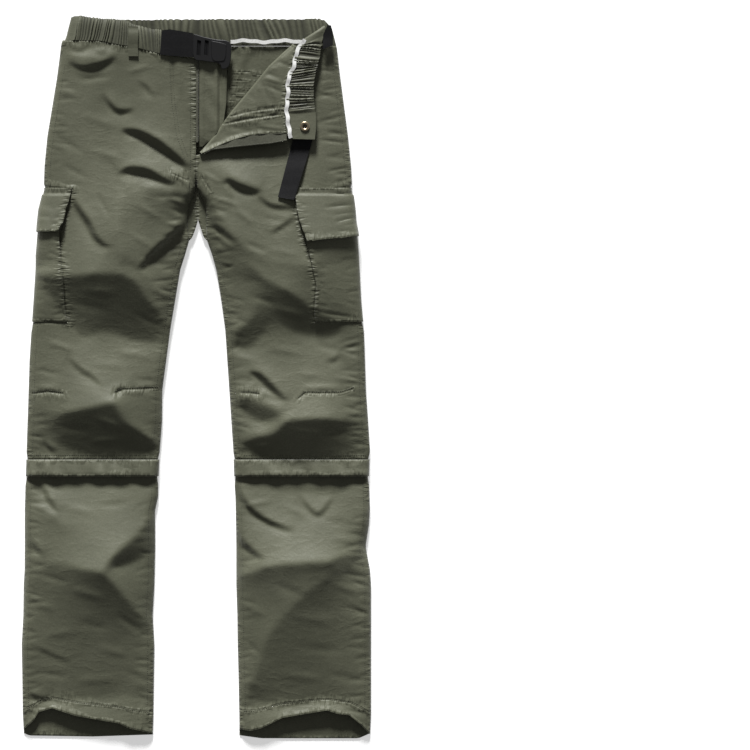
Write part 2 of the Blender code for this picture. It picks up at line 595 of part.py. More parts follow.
def build_front_left(leg, cloth):
    """Front with its top corner turned back over itself about the fold line."""
    def fold_x(row):
        return column(CORNER, 1, row)

    grid, inner, n = front_faces(leg, fold_x)
    rows, cols = grid.shape[:2]
    turns, across = 4, 6
    wide = cols + turns + across
    outer_all = np.zeros((rows, wide, 3))
    inner_all = np.zeros((rows, wide, 3))
    outer_all[:, :cols] = grid
    inner_all[:, :cols] = inner
    keep = np.zeros((rows - 1, wide - 1), bool)
    keep[:, :cols - 1] = True
    last = UPPER_ROWS.index(int(CORNER_Y))
    keep[:last, cols - 1:] = True
    out = np.array((-0.72, 0.69, 0.0))
    radius = TURN_GAP / 2
    for j in range(last + 1):
        row = UPPER_ROWS[j]
        foot = grid[j, -1]
        sag = column(CORNER, 4, row)
        edge_x, edge_y = column(CORNER, 2, row), column(CORNER, 3, row)
        inner_all[j, cols - 1] = foot - (0, 0, WALL)
        for k in range(1, turns + 1):
            turn = np.pi * k / turns
            centre = foot + (0, 0, radius)
            push = out * np.sin(turn) - np.array((0, 0, 1)) * np.cos(turn)
            outer_all[j, cols - 1 + k] = centre + radius * push
            inner_all[j, cols - 1 + k] = centre + (radius + WALL) * push
        start = foot + (0, 0, TURN_GAP)
        rise = corner_level(edge_y)
        for k in range(1, across + 1):
            s = k / across
            x = start[0] + (edge_x - start[0]) * s
            y = start[1] + (edge_y - start[1]) * s + sag * np.sin(np.pi * s)
            z = start[2] + (rise - start[2]) * s + 1.2 * np.sin(np.pi * s)
            z = max(z, leg.relief.level(x, y) + 2 * SEAM + 0.5)
            outer_all[j, cols - 1 + turns + k] = (x, y, z)
            inner_all[j, cols - 1 + turns + k] = (x, y, z + WALL)
    sheet("front_shorts_left", outer_all, inner_all, cloth, keep)
    turned = slice(cols - 1 + turns, None)
    return grid, n, outer_all[:last + 1, turned], inner_all[:last + 1, turned]


def corner_level(y):
    """Underside of the turned-back corner along its outer edge."""
    return float(np.interp(y, (345, 400, 470, 500), (21.0, 20.5, 19.5, 18.5)))


def build_back(leg, name, rows, cloth):
    """Flat back panel under one leg, cut to the same outline."""
    outer, inner = [], []
    shares = (0.0, 0.33, 0.67, 1.0)
    for row in rows:
        x_side, x_in = leg.side(row), leg.back_inner(row)
        line = []
        for s in shares:
            x = x_side + (x_in - x_side) * s
            y = leg.tilt(row, x) if 150 < row < 243 else min(float(row), WAIST_Y - SEAM)
            if row <= HEM_Y:
                y = along(BACK_HEM, x)
            line.append((x, y, base_z(y)))
        inner.append(line)
        outer.append([(x, y, z + WALL) for x, y, z in line])
    sheet(name, np.array(outer), np.array(inner), cloth)


def wrap_patch(name, leg, grid, n, rows, last_col, offset, cloth, low_rows=()):
    """Pocket or flap that lies on the front, turns round the side seam and ends on the back."""
    outer, inner = [], []
    for j, row in enumerate(UPPER_ROWS):
        if not rows[0] <= j <= rows[1]:
            continue
        gap = SEAM if j in low_rows else offset
        face = gap + WALL
        line_in = [grid[j, i] + gap * n[j, i] for i in range(last_col + 1)]
        line_out = [grid[j, i] + face * n[j, i] for i in range(last_col + 1)]
        for line, d in ((line_in, gap), (line_out, face)):
            x, y, _ = grid[j, 0]
            low = base_z(y) - d
            end = column(POCKET_BACK, leg.index, row)
            line[:0] = [(end, y, low), (x - leg.sign * 2.0, y, low), (x + leg.sign * d, y, low)]
        outer.append([tuple(p) for p in line_out])
        inner.append([tuple(p) for p in line_in])
    return sheet(name, np.array(outer), np.array(inner), cloth)


def section_ring(leg, rows, gap, swell, cloth, name):
    """Ring round the leg: over the front, round both edges and under the back."""
    outer, inner = [], []
    for row in rows:
        cols = leg.stations(row, NEAR, 6)
        x_side, x_in = cols[0], cols[-1]
        front = np.array([(x, row, leg.surface(x, row, x_side, x_in, 1.0)) for x in cols])
        run = np.gradient(front, axis=0)
        n = np.stack([-run[:, 2], np.zeros(len(cols)), run[:, 0]], axis=1)
        n /= np.linalg.norm(n, axis=1)[:, None]
        n[n[:, 2] < 0] *= -1
        n[0] = (leg.sign, 0, 0)
        n[-1] = (-leg.sign, 0, 0)
        rise = np.array([arch(abs(x - x_side)) * arch(abs(x - x_in)) for x in cols])
        lift = np.zeros_like(front)
        lift[:, 2] = swell(row) * rise
        near, far = (gap, gap + WALL) if gap >= 0 else (-WALL, 0.0)
        for line, d in ((inner, near), (outer, far)):
            ring = front + d * n + lift
            under = base_z(row) - d
            corners = np.array([(ring[-1, 0], row, under), (ring[0, 0], row, under)])
            line.append(np.concatenate([ring, corners]))
    return sheet(name, np.array(outer), np.array(inner), cloth, closed=True)


def band_swell(y):
    """How far the knee band stands off the leg under it."""
    return float(np.interp(y, (-143, -137, -128, -118), (4.6, 5.2, 3.8, 0.6)))


def build_waistbands(relief, panel, cloth):
    """Gathered elastic bands: the whole back band and the right half of the front."""
    xs = np.linspace(0, 1, BACK_BAND_GATHERS + 1)
    outer, inner = [], []
    for v in (0.0, 0.35, 0.7, 1.0):
        row_o, row_i = [], []
        for k, s in enumerate(xs):
            x = -182.5 + 381.0 * s
            top = along(BACK_BAND_TOP, x)
            y = WAIST_Y + 0.4 + (top - WAIST_Y - 0.4) * v
            side = column(SIDES, 1 if s < 0.5 else 2, y)
            x = max(x, side) if s < 0.5 else min(x, side)
            if k == 0:
                x = side
            if k == len(xs) - 1:
                x = side
            gather = 0.9 * (k % 2) * (0.4 + 0.6 * np.sin(np.pi * v))
            row_o.append((x, y, HIP_BASE + 1.6 + gather))
            row_i.append((x, y, HIP_BASE))
        outer.append(row_o)
        inner.append(row_i)
    sheet("waistband_back", np.array(outer), np.array(inner), cloth)

    outer, inner = [], []
    count = FRONT_BAND_GATHERS
    for v in (0.0, 0.3, 0.6, 0.85, 1.0):
        row_o, row_i = [], []
        for k in range(count + 4):
            d = 10.0 * (0.0, 0.134, 0.5, 1.0)[min(k, 3)]
            share = max(k - 3, 0) / count
            y = 500.0
            for _ in range(4):
                start = column(SIDES, 1, y) + d
                x = start + (-47.0 - start) * share
                low = float(np.interp(x, panel[0, :, 0], panel[0, :, 1])) + SEAM
                y = low + (along(FRONT_BAND_TOP, x) - low) * v
            rim = HIP_BASE + 1.6 + 0.9 + SEAM + 0.1
            rise = (1 - (1 - min(d / 10.0, 1)) ** 2) ** 0.5
            bottom = max(relief.level(x, y - 4 * v), rim + BAND_WALL)
            gather = 1.1 * ((k % 2) if k > 4 else 0) * (0.5 + 0.5 * np.sin(np.pi * v))
            z = rim + (bottom - 1.5 * v + gather - rim) * rise
            row_o.append((x, y, z))
            shift = BAND_WALL * (1 - rise) ** 0.5
            row_i.append((x + shift, y, max(z - BAND_WALL * rise, rim)))
        outer.append(row_o)
        inner.append(row_i)
    outer, inner = np.array(outer), np.array(inner)
    inner[:, 0, 2] = outer[:, 0, 2]
    sheet("waistband_front_right", outer, inner, cloth)
    return outer


def build_turned_band(edge, cloth):
    """Front-left waistband lying over the panel with its wrong side up."""
    outer, inner = [], []
    for xa, ya, xb, yb, lift in TURNED_BAND:
        if edge[-1, 1] < ya < edge[0, 1]:
            xa = float(np.interp(ya, edge[::-1, 1], edge[::-1, 0]))
        low = corner_level(0.5 * (ya + yb)) - 0.4
        line_o, line_i = [], []
        for s in (0.0, 0.5, 1.0):
            x, y = xa + 0.4 + (xb - xa - 0.4) * s, ya + (yb - ya) * s
            z = low + lift
            line_o.append((x, y, z))
            line_i.append((x, y, z + BAND_WALL))
        outer.append(line_o)
        inner.append(line_i)
    out = np.array((-0.53, 0.85, 0.0)) * 0.9
    top = np.array(outer[-1])
    radius = TURN_GAP / 2
    for k in range(1, 4):
        turn = np.pi * (4 - k) / 4
        centre = top - (0, 0, radius)
        push = out * np.sin(turn) + np.array((0, 0, 1)) * -np.cos(turn)
        outer.append([tuple(p) for p in centre + radius * push])
        inner.append([tuple(p) for p in centre + (radius + BAND_WALL) * push])
    foot = top - (0, 0, 2 * radius)
    outer.append([tuple(p) for p in foot])
    inner.append([tuple(p) for p in foot - (0, 0, BAND_WALL)])
    for xa, ya, xb, yb in HIDDEN_BAND:
        z = foot[0][2] - 0.6
        line = [(xa + (xb - xa) * s, ya + (yb - ya) * s, z) for s in (0.0, 0.5, 1.0)]
        outer.append(line)
        inner.append([(x, y, z - BAND_WALL) for x, y, z in line])
    sheet("waistband_front_left", np.array(outer), np.array(inner), cloth)
    return np.array(inner[:len(TURNED_BAND)])


def lathe(name, centre, profile, segments, material, hollow=False):
    """Turned piece from a profile of (radius, height); a hollow one closes on itself."""
    verts, faces = [], []
    for r, z in profile:
        for k in range(segments):
            a = 2 * np.pi * k / segments
            verts.append((centre[0] + r * np.cos(a), centre[1] + r * np.sin(a), centre[2] + z))
    count = len(profile)
    for j in range(count if hollow else count - 1):
        for k in range(segments):
            m = (k + 1) % segments
            n = (j + 1) % count
            faces.append((j * segments + k, j * segments + m, n * segments + m, n * segments + k))
    if not hollow:
        faces.append(tuple(range(segments)))
        last = (count - 1) * segments
        faces.append(tuple(range(last + segments - 1, last - 1, -1)))
    return add_solid(name, verts, faces, material)


def build_all():
    cloth = make_material("nylon_cloth", (0.145, 0.140, 0.102), 0.62)
    band_cloth = make_material("band_cloth", (0.135, 0.130, 0.095), 0.66)
    tape = make_material("binding_tape", (0.72, 0.72, 0.70), 0.8)
    webbing = make_material("black_webbing", (0.012, 0.012, 0.014), 0.7)
    plastic = make_material("black_plastic", (0.010, 0.010, 0.011), 0.38)
    zip_cloth = make_material("zip_tape", (0.11, 0.108, 0.085), 0.7)
    brass = make_material("antique_brass", (0.55, 0.43, 0.27), 0.35, 1.0)
    dark_metal = make_material("snap_core", (0.03, 0.028, 0.025), 0.4, 0.8)

    relief = Relief()
    right, left = Leg(-1, relief), Leg(1, relief)
    grid_r, n_r = build_front_right(right, cloth)
    grid_l, n_l, corner_o, corner_i = build_front_left(left, cloth)

    build_back(right, "back_shorts_right", UPPER_ROWS, cloth)
    build_back(left, "back_shorts_left", UPPER_ROWS, cloth)

    for leg, tag in ((right, "right"), (left, "left")):
        grid = leg.front_grid(LOWER_ROWS, NEAR, 6)
        n = edge_normals(grid, leg.sign)
        inner = front_inner_face(grid, n, WALL)
        inner[:, -1, 2] = grid[:, -1, 2]
        inner[:, :, 1] = grid[:, :, 1]
        sheet("lower_leg_front_" + tag, grid, inner, cloth)
        build_back(leg, "lower_leg_back_" + tag, LOWER_ROWS, cloth)
        section_ring(leg, ZIP_ROWS, -1.0, lambda y: 0.0, zip_cloth, "knee_zip_" + tag)
        section_ring(leg, BAND_ROWS, SEAM, band_swell, band_cloth, "knee_band_" + tag)

    edge_col = 3 + NEAR
    at = {row: j for j, row in enumerate(UPPER_ROWS)}
    low_rows = (at[FLAP_TOP_Y], at[FLAP_SEAM_Y])
    for leg, grid, n, tag, end in ((right, grid_r, n_r, "right", FLAP_END_RIGHT_Y),
                                   (left, grid_l, n_l, "left", FLAP_END_LEFT_Y)):
        wrap_patch("cargo_pocket_" + tag, leg, grid, n, (at[POCKET_TOP_Y], at[POCKET_END_Y]),
                   edge_col, SEAM, cloth)
        wrap_patch("cargo_flap_" + tag, leg, grid, n, (at[FLAP_TOP_Y], at[end]), edge_col,
                   STACK + SEAM, band_cloth, low_rows)

    band = build_waistbands(relief, grid_r, band_cloth)
    turned = build_turned_band(corner_o[:, -1], band_cloth)

    # Back pockets under the back panels, their flaps below them
    plate("back_pocket_right", BACK_POCKET_RIGHT, STACK, STACK + WALL, cloth)
    plate("back_pocket_left", BACK_POCKET_LEFT, STACK, STACK + WALL, cloth)
    plate("back_flap_right", BACK_FLAP_RIGHT, 0.0, WALL, band_cloth)
    plate("back_flap_left", BACK_FLAP_LEFT, 0.0, WALL, band_cloth)
    for tag, (x, low, high, lean, width) in zip(("right", "centre", "left"), BACK_LOOPS):
        half = width / 2
        corners = ((x - half, low), (x + half, low), (x + half + lean, high), (x - half + lean, high))
        plate("belt_loop_back_" + tag, corners, STACK, STACK + WALL, band_cloth)

    # Fly: zip tape along the right edge, shield behind it, tape hanging from the turned corner
    ys = (462.5, 440, 420, 400, 380, 360, 342)
    tops = [min(grid_level(grid_r, y, -1), grid_level(grid_r, y, -2)) for y in ys]
    strip("fly_zip_right", [(0.2, y) for y in ys], [(4.4, y) for y in ys],
          [t - WALL for t in tops], [t + 0.3 for t in tops], zip_cloth)
    shield_ys = (462.5, 440, 420, 400, 380, 366, 352)
    shield_right = (38, 37.5, 38, 38.5, 38, 30, 13)
    strip("fly_shield", [(4.7, y) for y in shield_ys], list(zip(shield_right, shield_ys)),
          [t - 2.2 for t in tops], [t - 0.7 for t in tops], cloth, 2)
    lip_top = corner_o[-1]
    lip_low = np.array([(x, along(ZIP_LIP, x)) for x in lip_top[:, 0]])
    heights = lip_top[:, 2]
    strip("fly_zip_left", [(p[0], p[1] - SEAM) for p in lip_top[1:]], [tuple(p) for p in lip_low[1:]],
          heights[1:] - 0.6, heights[1:] + 0.9, zip_cloth, 1)

    # White binding on the back band and along the turned band
    tape_x = np.linspace(52, 152, 17)
    wave = 1.2 * np.sin(tape_x / 9.0)
    strip("waist_tape_back", [(x, 491.5 + w) for x, w in zip(tape_x, wave)],
          [(x, 486 + w) for x, w in zip(tape_x, wave)],
          [HIP_BASE + 2.9] * 17, [HIP_BASE + 4.1] * 17, tape)
    tape_rows = corner_i[1:, -1]
    strip("waist_tape_left", [(p[0] - 5.6, p[1]) for p in tape_rows],
          [(p[0] - 0.2, p[1]) for p in tape_rows],
          tape_rows[:, 2] + SEAM, tape_rows[:, 2] + SEAM + 1.2, tape)

    # Belt: webbing, buckle, tail and the piece seen at the side
    under = [p for line in band for p in line if p[0] > -60]
    under += [p for p in grid_r[0] if -60 < p[0] < 10]
    belt_z = max(p[2] for p in under) + SEAM
    plate("belt_webbing_right", WEBBING_RIGHT, belt_z, belt_z + WEBBING_WALL, webbing)
    plate("belt_webbing_side", WEBBING_SIDE, 22.5, 22.5 + WEBBING_WALL, webbing)
    tail_y = np.linspace(352, 259.5, 8)
    tail_left = [(float(np.interp(y, (259.5, 340, 352), (119, 139.5, 142))), y + 2.2) for y in tail_y]
    tail_right = [(float(np.interp(y, (259.5, 340, 352), (142.5, 167, 170))), y - 2.2) for y in tail_y]
    floor = []
    for a, b in zip(tail_left, tail_right):
        spots = [(a[0] + (b[0] - a[0]) * s, a[1] + (b[1] - a[1]) * s + d)
                 for s in np.linspace(0, 1, 7) for d in (-12, -6, 0, 6, 12)]
        floor.append(max(relief.level(x, y) for x, y in spots) + 0.8)
    floor[0] = min(floor[0], 17.0)
    strip("belt_webbing_left", tail_left, tail_right, floor, [f + WEBBING_WALL for f in floor], webbing)
    build_buckle(max(belt_z - 0.5, max(tops) + 2 * SEAM), plastic)

    # Press stud on the end tab
    stud = (158.0, 364.5, float(turned[2, 1, 2]) + 0.3)
    lathe("snap_ring", stud, SNAP_RING, 24, brass, True)
    lathe("snap_core", stud, SNAP_CORE, 24, dark_metal)

    # Front belt loop over the right band
    loop_y = (509, 500, 488, 478, 467)
    rest = [max(p[2] for line in band for p in line if -106 < p[0] < -74) + 0.6] * 3
    rest += [max(relief.level(x, 478) for x in (-98, -90, -82)) + 3.4,
             max(relief.level(x, 467) for x in (-98, -90, -82)) + 1.6]
    strip("belt_loop_front", [(-98, y) for y in loop_y], [(-83.5, y) for y in loop_y],
          rest, [r + WALL for r in rest], band_cloth)


def grid_level(grid, y, col):
    """Height of one column of a front grid at y."""
    line = grid[::-1, col]
    return float(np.interp(y, line[:, 1], line[:, 2]))


def build_buckle(low, material):
    """Side-release buckle half: a plate with two slots for the webbing."""
    body = plate("belt_buckle", BUCKLE, low, low + 4.0, material)
    for x in (2.5, 13.5):
        corners = ((x, 490), (x + 5.0, 488.5), (x + 4.0, 467), (x - 1.0, 468.5))
        cutter = plate("slot_cutter", corners, low - 3.0, low + 7.0, material)
        PARTS.objects.unlink(cutter)
        CUTTERS.objects.link(cutter)
        cutter.hide_render = True
        cutter.hide_viewport = True
        modifier = body.modifiers.new("slot", "BOOLEAN")
        modifier.operation = "DIFFERENCE"
        modifier.solver = "EXACT"
        modifier.object = cutter
    return body


for item in list(bpy.data.objects):
    bpy.data.objects.remove(item, do_unlink=True)

PARTS = bpy.data.collections.new("parts")
CUTTERS = bpy.data.collections.new("cutters")
bpy.context.scene.collection.children.link(PARTS)
bpy.context.scene.collection.children.link(CUTTERS)

build_all()
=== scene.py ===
import logging
import math
from dataclasses import dataclass, field
from enum import Enum
from typing import Callable, Optional, Sequence

import bmesh
import bpy
import numpy as np
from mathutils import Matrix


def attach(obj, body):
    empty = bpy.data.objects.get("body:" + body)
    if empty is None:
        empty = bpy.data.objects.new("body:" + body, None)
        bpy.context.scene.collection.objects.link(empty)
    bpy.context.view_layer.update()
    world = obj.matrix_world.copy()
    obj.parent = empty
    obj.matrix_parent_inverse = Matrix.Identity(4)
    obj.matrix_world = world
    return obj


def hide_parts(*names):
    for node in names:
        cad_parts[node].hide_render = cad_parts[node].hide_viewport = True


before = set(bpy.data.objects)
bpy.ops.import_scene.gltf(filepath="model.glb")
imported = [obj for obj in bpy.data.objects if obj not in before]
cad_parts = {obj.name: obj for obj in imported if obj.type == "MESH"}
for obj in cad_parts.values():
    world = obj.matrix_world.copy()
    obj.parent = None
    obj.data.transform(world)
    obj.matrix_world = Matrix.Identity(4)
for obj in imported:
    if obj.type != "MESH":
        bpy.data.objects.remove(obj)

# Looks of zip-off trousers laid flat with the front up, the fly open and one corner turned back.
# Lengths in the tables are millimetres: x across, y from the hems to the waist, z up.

logging.basicConfig(level=logging.INFO, format="%(message)s")
LOG = logging.getLogger("trousers")

MM = 0.001
WALL = 1.5
SEAM = 0.3
BAND_WALL = 2.0
WEBBING_WALL = 1.6
STACK = WALL + SEAM
HIP_BASE = 2 * STACK
KNEE_BASE = STACK
RELIEF_GAIN = 1.15
RELIEF_FLOOR = 7.0
SIDE_ROUND = 14.0
TURN_GAP = 4.0
WAIST_Y = 482.0
CORNER_Y = 325.0
HEM_Y = -494.0
FLAP_TOP_Y = 276.0
FLAP_SEAM_Y = 267.0
POCKET_TOP_Y = 258.0
FLAP_END_RIGHT_Y = 212.0
FLAP_END_LEFT_Y = 197.0
POCKET_END_Y = 82.0
STITCH_PITCH = 3.2
SEAM_REACH = 17.0
SEED = 1207

# Side seams and inseams: y, right side, left side
SIDES = (
    (528, -180.5, 183), (519, -182.7, 187), (508, -185.6, 197), (496, -188.5, 200),
    (478, -195.8, 204.5), (440, -201.6, 208.8), (396, -208.8, 214.6), (352, -216.1, 220.4),
    (309, -220.4, 224.8), (278, -221.5, 226.5), (262, -225, 229.3), (244, -229.1, 231.5),
    (222, -230.6, 232), (200, -231, 233.8), (178, -233.5, 236.4), (157, -233.8, 237.8),
    (113, -236.4, 239.8), (70, -239.3, 243.6), (26, -242.2, 245.1), (-17, -243.6, 246.5),
    (-61, -245.1, 249.5), (-104, -246.5, 252.3), (-148, -248, 250.9), (-191, -249.4, 252.3),
    (-213, -249.4, 250.9), (-245, -249.4, 246), (-278, -249.6, 252.3), (-300, -250.9, 253.8),
    (-344, -251.5, 253.8), (-387, -253.8, 253.8), (-474, -252.3, 253.8), (-524, -248, 250.5),
)
# Front inner edges: y, right, left (centre front above the crotch, inseam below)
FRONT_INNER = (
    (290, -0.15, 0.15), (276, -0.8, 1.5), (265, -4, 6), (255, -9, 12), (243, -12, 14.2),
    (228, -12.8, 15), (212, -12, 14.8), (205, -9.8, 14.5), (197, -11, 16.5), (178, -16.5, 23.2),
    (157, -23.2, 29), (113, -30.5, 36.3), (70, -37.7, 42.1), (26, -43.5, 45), (-17, -49.3, 47.9),
    (-61, -49.6, 50.8), (-104, -53, 53.7), (-148, -55.1, 55.1), (-172, -55.4, 56.8),
    (-193, -60, 57.2), (-245, -59.7, 58), (-300, -60.9, 58), (-344, -63.4, 59.5),
    (-387, -60.9, 60), (-474, -62.4, 62.4), (-524, -64.5, 62.8),
)
# Back inner edges above the point where the two legs part: y, right, left
BACK_INNER = (
    (265, -0.15, 0.15), (212, 3.6, 3.9), (205, -6.5, 12.5), (197, -11, 16.5),
)
# Front edge of each cargo pocket, which is also a line of the front panel: y, right, left
POCKET_FRONT = (
    (278, -179, 143), (262, -182, 144), (245, -187, 146), (228, -190.5, 150), (212, -197, 155),
    (197, -197, 160), (166, -194, 168), (134, -191, 174.5), (100, -189.5, 172), (82, -187, 172),
)
# Back edge of each cargo pocket: y, right, left
POCKET_BACK = ((276, -184, 193), (200, -187, 196), (82, -212, 212))

# How far the seams draw in where a pocket, flap or band adds its own thickness: y, inset
DRAW_IN = (
    (282, 0), (274, 3.4), (214, 3.4), (200, 2.2), (84, 1.8), (66, 0),
    (-108, 0), (-117, 1.8), (-144, 1.8), (-156, 0),
)

# Height of the underside of the back panels: y, z
BASE = ((76, HIP_BASE), (-20, KNEE_BASE), (-150, KNEE_BASE), (-176, 0.0))

# Front edge of the right front panel at the waistband, and of both hems: x, y
WAIST_LINE = ((-192, 490), (-140, 489), (-110, 483), (-90, 480), (-55, 471), (-30, 468), (0, 463))
HEM_RIGHT = ((-252, -511), (-236, -497), (-229, -485), (-209, -479), (-175, -490), (-130, -498),
             (-112, -501), (-98, -508), (-64, -516))
HEM_LEFT = ((63, -510), (80, -512), (95, -508), (125, -493), (160, -487), (190, -482), (205, -487),
            (222, -489), (238, -502), (252, -517))
BACK_HEM = ((-253, -515), (-243, -519.5), (-150, -521), (-64, -518), (62, -519), (95, -523.5),
            (236, -523.5), (253, -516))

# Level of the front close to each edge: y, right side, right inner, left inner, left side
EDGE_LEVEL = (
    (520, 13, 12, 12, 13), (440, 13, 13, 12, 13), (330, 13, 14, 13, 13), (265, 13, 18, 18, 13),
    (200, 13, 12, 12, 13), (150, 14, 12, 12, 13), (100, 13, 11, 11, 12), (50, 12, 10, 11, 12),
    (-20, 13, 13, 13, 13), (-60, 12, 13, 14, 13), (-110, 9, 10, 10, 9), (-150, 9, 9, 9, 9),
    (-200, 13, 13, 13, 14), (-270, 15, 11, 13, 12), (-360, 12, 11, 11, 12), (-470, 9, 9, 9, 9),
    (-525, 8, 8, 8, 8),
)

# Ridges and hollows of the laid cloth, one row each: name, points (x, y, level)
LINES = (
    ("seat seam right", ((-192, 480, 13), (-150, 480, 15), (-100, 478, 15), (-52, 472, 14),
                         (-5, 465, 12))),
    ("bulge under band", ((-180, 469, 17), (-150, 464, 19), (-125, 471, 18), (-112, 479, 16))),
    ("thigh swell", ((-105, 262, 26), (-112, 215, 31), (-105, 170, 34))),
    ("crotch strand right", ((-68, 277, 25), (-40, 274, 23), (-8, 267, 19))),
    ("thigh crest right", ((-230, 152, 17), (-192, 147, 25), (-150, 151, 32), (-108, 151, 34),
                           (-87, 142, 31), (-70, 114, 24), (-50, 92, 16), (-42, 76, 12))),
    ("thigh valley right", ((-233, 138, 14), (-206, 114, 13), (-189, 86, 11), (-165, 58, 9),
                            (-130, 71, 10), (-95, 56, 8), (-60, 51, 8), (-42, 53, 9))),
    ("knee crest right", ((-233, -30, 14), (-208, -56, 18), (-184, -48, 25), (-155, -43, 29),
                          (-119, -34, 32), (-105, -61, 26), (-76, -80, 20), (-56, -97, 14))),
    ("knee valley right", ((-217, -76, 13), (-214, -89, 11), (-194, -99, 9), (-163, -112, 7),
                           (-120, -117, 7), (-100, -109, 8), (-80, -103, 9), (-56, -101, 10))),
    ("band hollow right", ((-243, -150, 8), (-200, -160, 8), (-130, -158, 8), (-62, -156, 8))),
    ("calf strand right", ((-226, -186, 16), (-206, -200, 19), (-190, -216, 21))),
    ("calf crest right", ((-240, -268, 15), (-200, -269, 25), (-160, -277, 34), (-134, -281, 37))),
    ("shin crest right", ((-62, -197, 13), (-85, -228, 22), (-114, -252, 31), (-134, -281, 37))),
    ("shin valley right", ((-61, -251, 9), (-75, -260, 12), (-95, -268, 17), (-116, -272, 25))),
    ("shin strand right", ((-134, -281, 37), (-117, -298, 32), (-98, -322, 25), (-80, -345, 17),
                           (-67, -358, 12))),
    ("hem valley right", ((-238, -462, 8), (-214, -466, 7), (-178, -468, 7), (-140, -465, 7),
                          (-96, -459, 7), (-80, -464, 7), (-64, -487, 7))),
    ("hem rim right", ((-212, -478, 11), (-175, -489, 12), (-130, -497, 12), (-98, -507, 11),
                       (-66, -514, 8))),
    ("seat seam left", ((45, 470, 11), (90, 470, 12), (150, 474, 13), (204, 478, 13))),
    ("under turned corner", ((5, 335, 9), (60, 338, 9), (120, 345, 9), (170, 345, 12))),
    ("under corner ridge", ((40, 309, 15), (52, 295, 18), (72, 285, 20), (100, 272, 20),
                            (122, 263, 19))),
    ("crotch strand left", ((14, 259, 18), (35, 233, 21), (60, 201, 25), (90, 177, 27),
                            (128, 166, 28), (172, 162, 26))),
    ("thigh crest left", ((29, 189, 15), (60, 175, 21), (80, 162, 25), (100, 142, 28), (130, 129, 30),
                          (150, 117, 27), (170, 98, 21), (205, 86, 15))),
    ("thigh hollow left", ((34, 150, 10), (46, 137, 13), (64, 141, 17), (80, 140, 20), (96, 141, 25))),
    ("inner spur left", ((52, 60, 12), (62, 71, 15), (76, 83, 17), (87, 96, 19), (90, 110, 21))),
    ("thigh valley left", ((57, 46, 8), (70, 41, 8), (82, 46, 9), (95, 62, 11), (113, 84, 16),
                           (140, 69, 12), (165, 63, 10), (195, 59, 10), (208, 67, 11))),
    ("dart ridge left", ((63, -27, 17), (90, -34, 20), (112, -43, 23), (128, -52, 24))),
    ("dart valley left", ((53, -43, 12), (68, -47, 12), (82, -59, 12), (98, -65, 14), (117, -59, 20))),
    ("knee crest left", ((57, -98, 11), (72, -92, 14), (88, -84, 18), (110, -82, 21), (122, -72, 25),
                         (132, -61, 29), (160, -59, 30), (188, -58, 28), (216, -61, 22), (231, -46, 16))),
    ("knee valley left", ((75, -101, 10), (92, -113, 7), (112, -119, 7), (160, -118, 8), (226, -118, 8))),
    ("band hollow left", ((62, -148, 8), (100, -158, 8), (135, -166, 8), (200, -168, 8), (246, -148, 8))),
    ("calf crest left", ((62, -288, 15), (80, -284, 21), (100, -272, 30), (135, -268, 35),
                         (170, -266, 36), (197, -267, 33))),
    ("calf step left", ((201, -262, 31), (222, -254, 22), (244, -247, 13))),
    ("calf foot left", ((205, -278, 27), (221, -284, 18), (243, -293, 12))),
    ("shin strand left", ((190, -288, 30), (160, -308, 30), (140, -330, 27), (120, -352, 23),
                          (104, -375, 20), (96, -400, 17), (86, -430, 14), (74, -456, 10))),
    ("hem valley left", ((68, -478, 7), (92, -470, 7), (125, -476, 7), (150, -475, 7), (174, -468, 7),
                         (192, -465, 7), (215, -471, 7), (243, -471, 8))),
    ("hem rim left", ((66, -509, 8), (95, -506, 11), (125, -492, 12), (160, -486, 12), (190, -481, 13),
                      (215, -489, 12), (238, -501, 10), (249, -512, 8))),
)

# Folds with one steep side: name, crest points (x, y), drop, reach of the steep side
FOLDS = (
    ("hip fold", ((-184, 460), (-166, 453), (-145, 456), (-115, 466)), 6, 8),
    ("hip crescent", ((-133, 412), (-122, 399), (-110, 390), (-89, 391)), 5, 7),
    ("drag fold", ((-108, 361), (-80, 359), (-50, 344), (-20, 318), (-10, 303)), 12, 13),
    ("arch fold", ((-113, 296), (-97, 306), (-70, 305), (-46, 292), (-28, 281)), 10, 13),
    ("pocket fold", ((-181, 263), (-167, 248), (-150, 226), (-140, 204), (-122, 189)), 8, 11),
    ("groin fold", ((-84, 157), (-62, 188), (-36, 211), (-13, 233)), 11, 14),
    ("calf fold", ((-226, -149), (-214, -166), (-198, -194)), 6, 9),
    ("hip crescent left", ((38, 283), (48, 290), (64, 283), (95, 270)), 8, 11),
    ("knee fold left", ((76, 11), (96, 7), (115, -11), (134, -33)), 9, 12),
    ("calf arc left", ((60, -148), (68, -170), (81, -187), (105, -204), (142, -221)), 7, 8),
    ("calf arc left b", ((59, -212), (67, -230), (82, -246), (100, -261)), 7, 10),
)

# Turned-back corner, one row per upper row: y, fold x, outer edge x, outer edge y, sag of the row
CORNER = (
    (482, 143, 147.5, 481, 0), (466, 125, 143, 464, 0), (450, 108, 139.5, 450, 0), (434, 95, 134, 436, 0),
    (418, 82, 131, 421, 0), (402, 68.5, 131, 407, 0), (386, 55, 130, 394, 1), (370, 43, 129, 382, 2),
    (354, 33, 129, 370, 4), (340, 21, 130, 362, 8), (325, 8, 131.5, 354, 10),
)
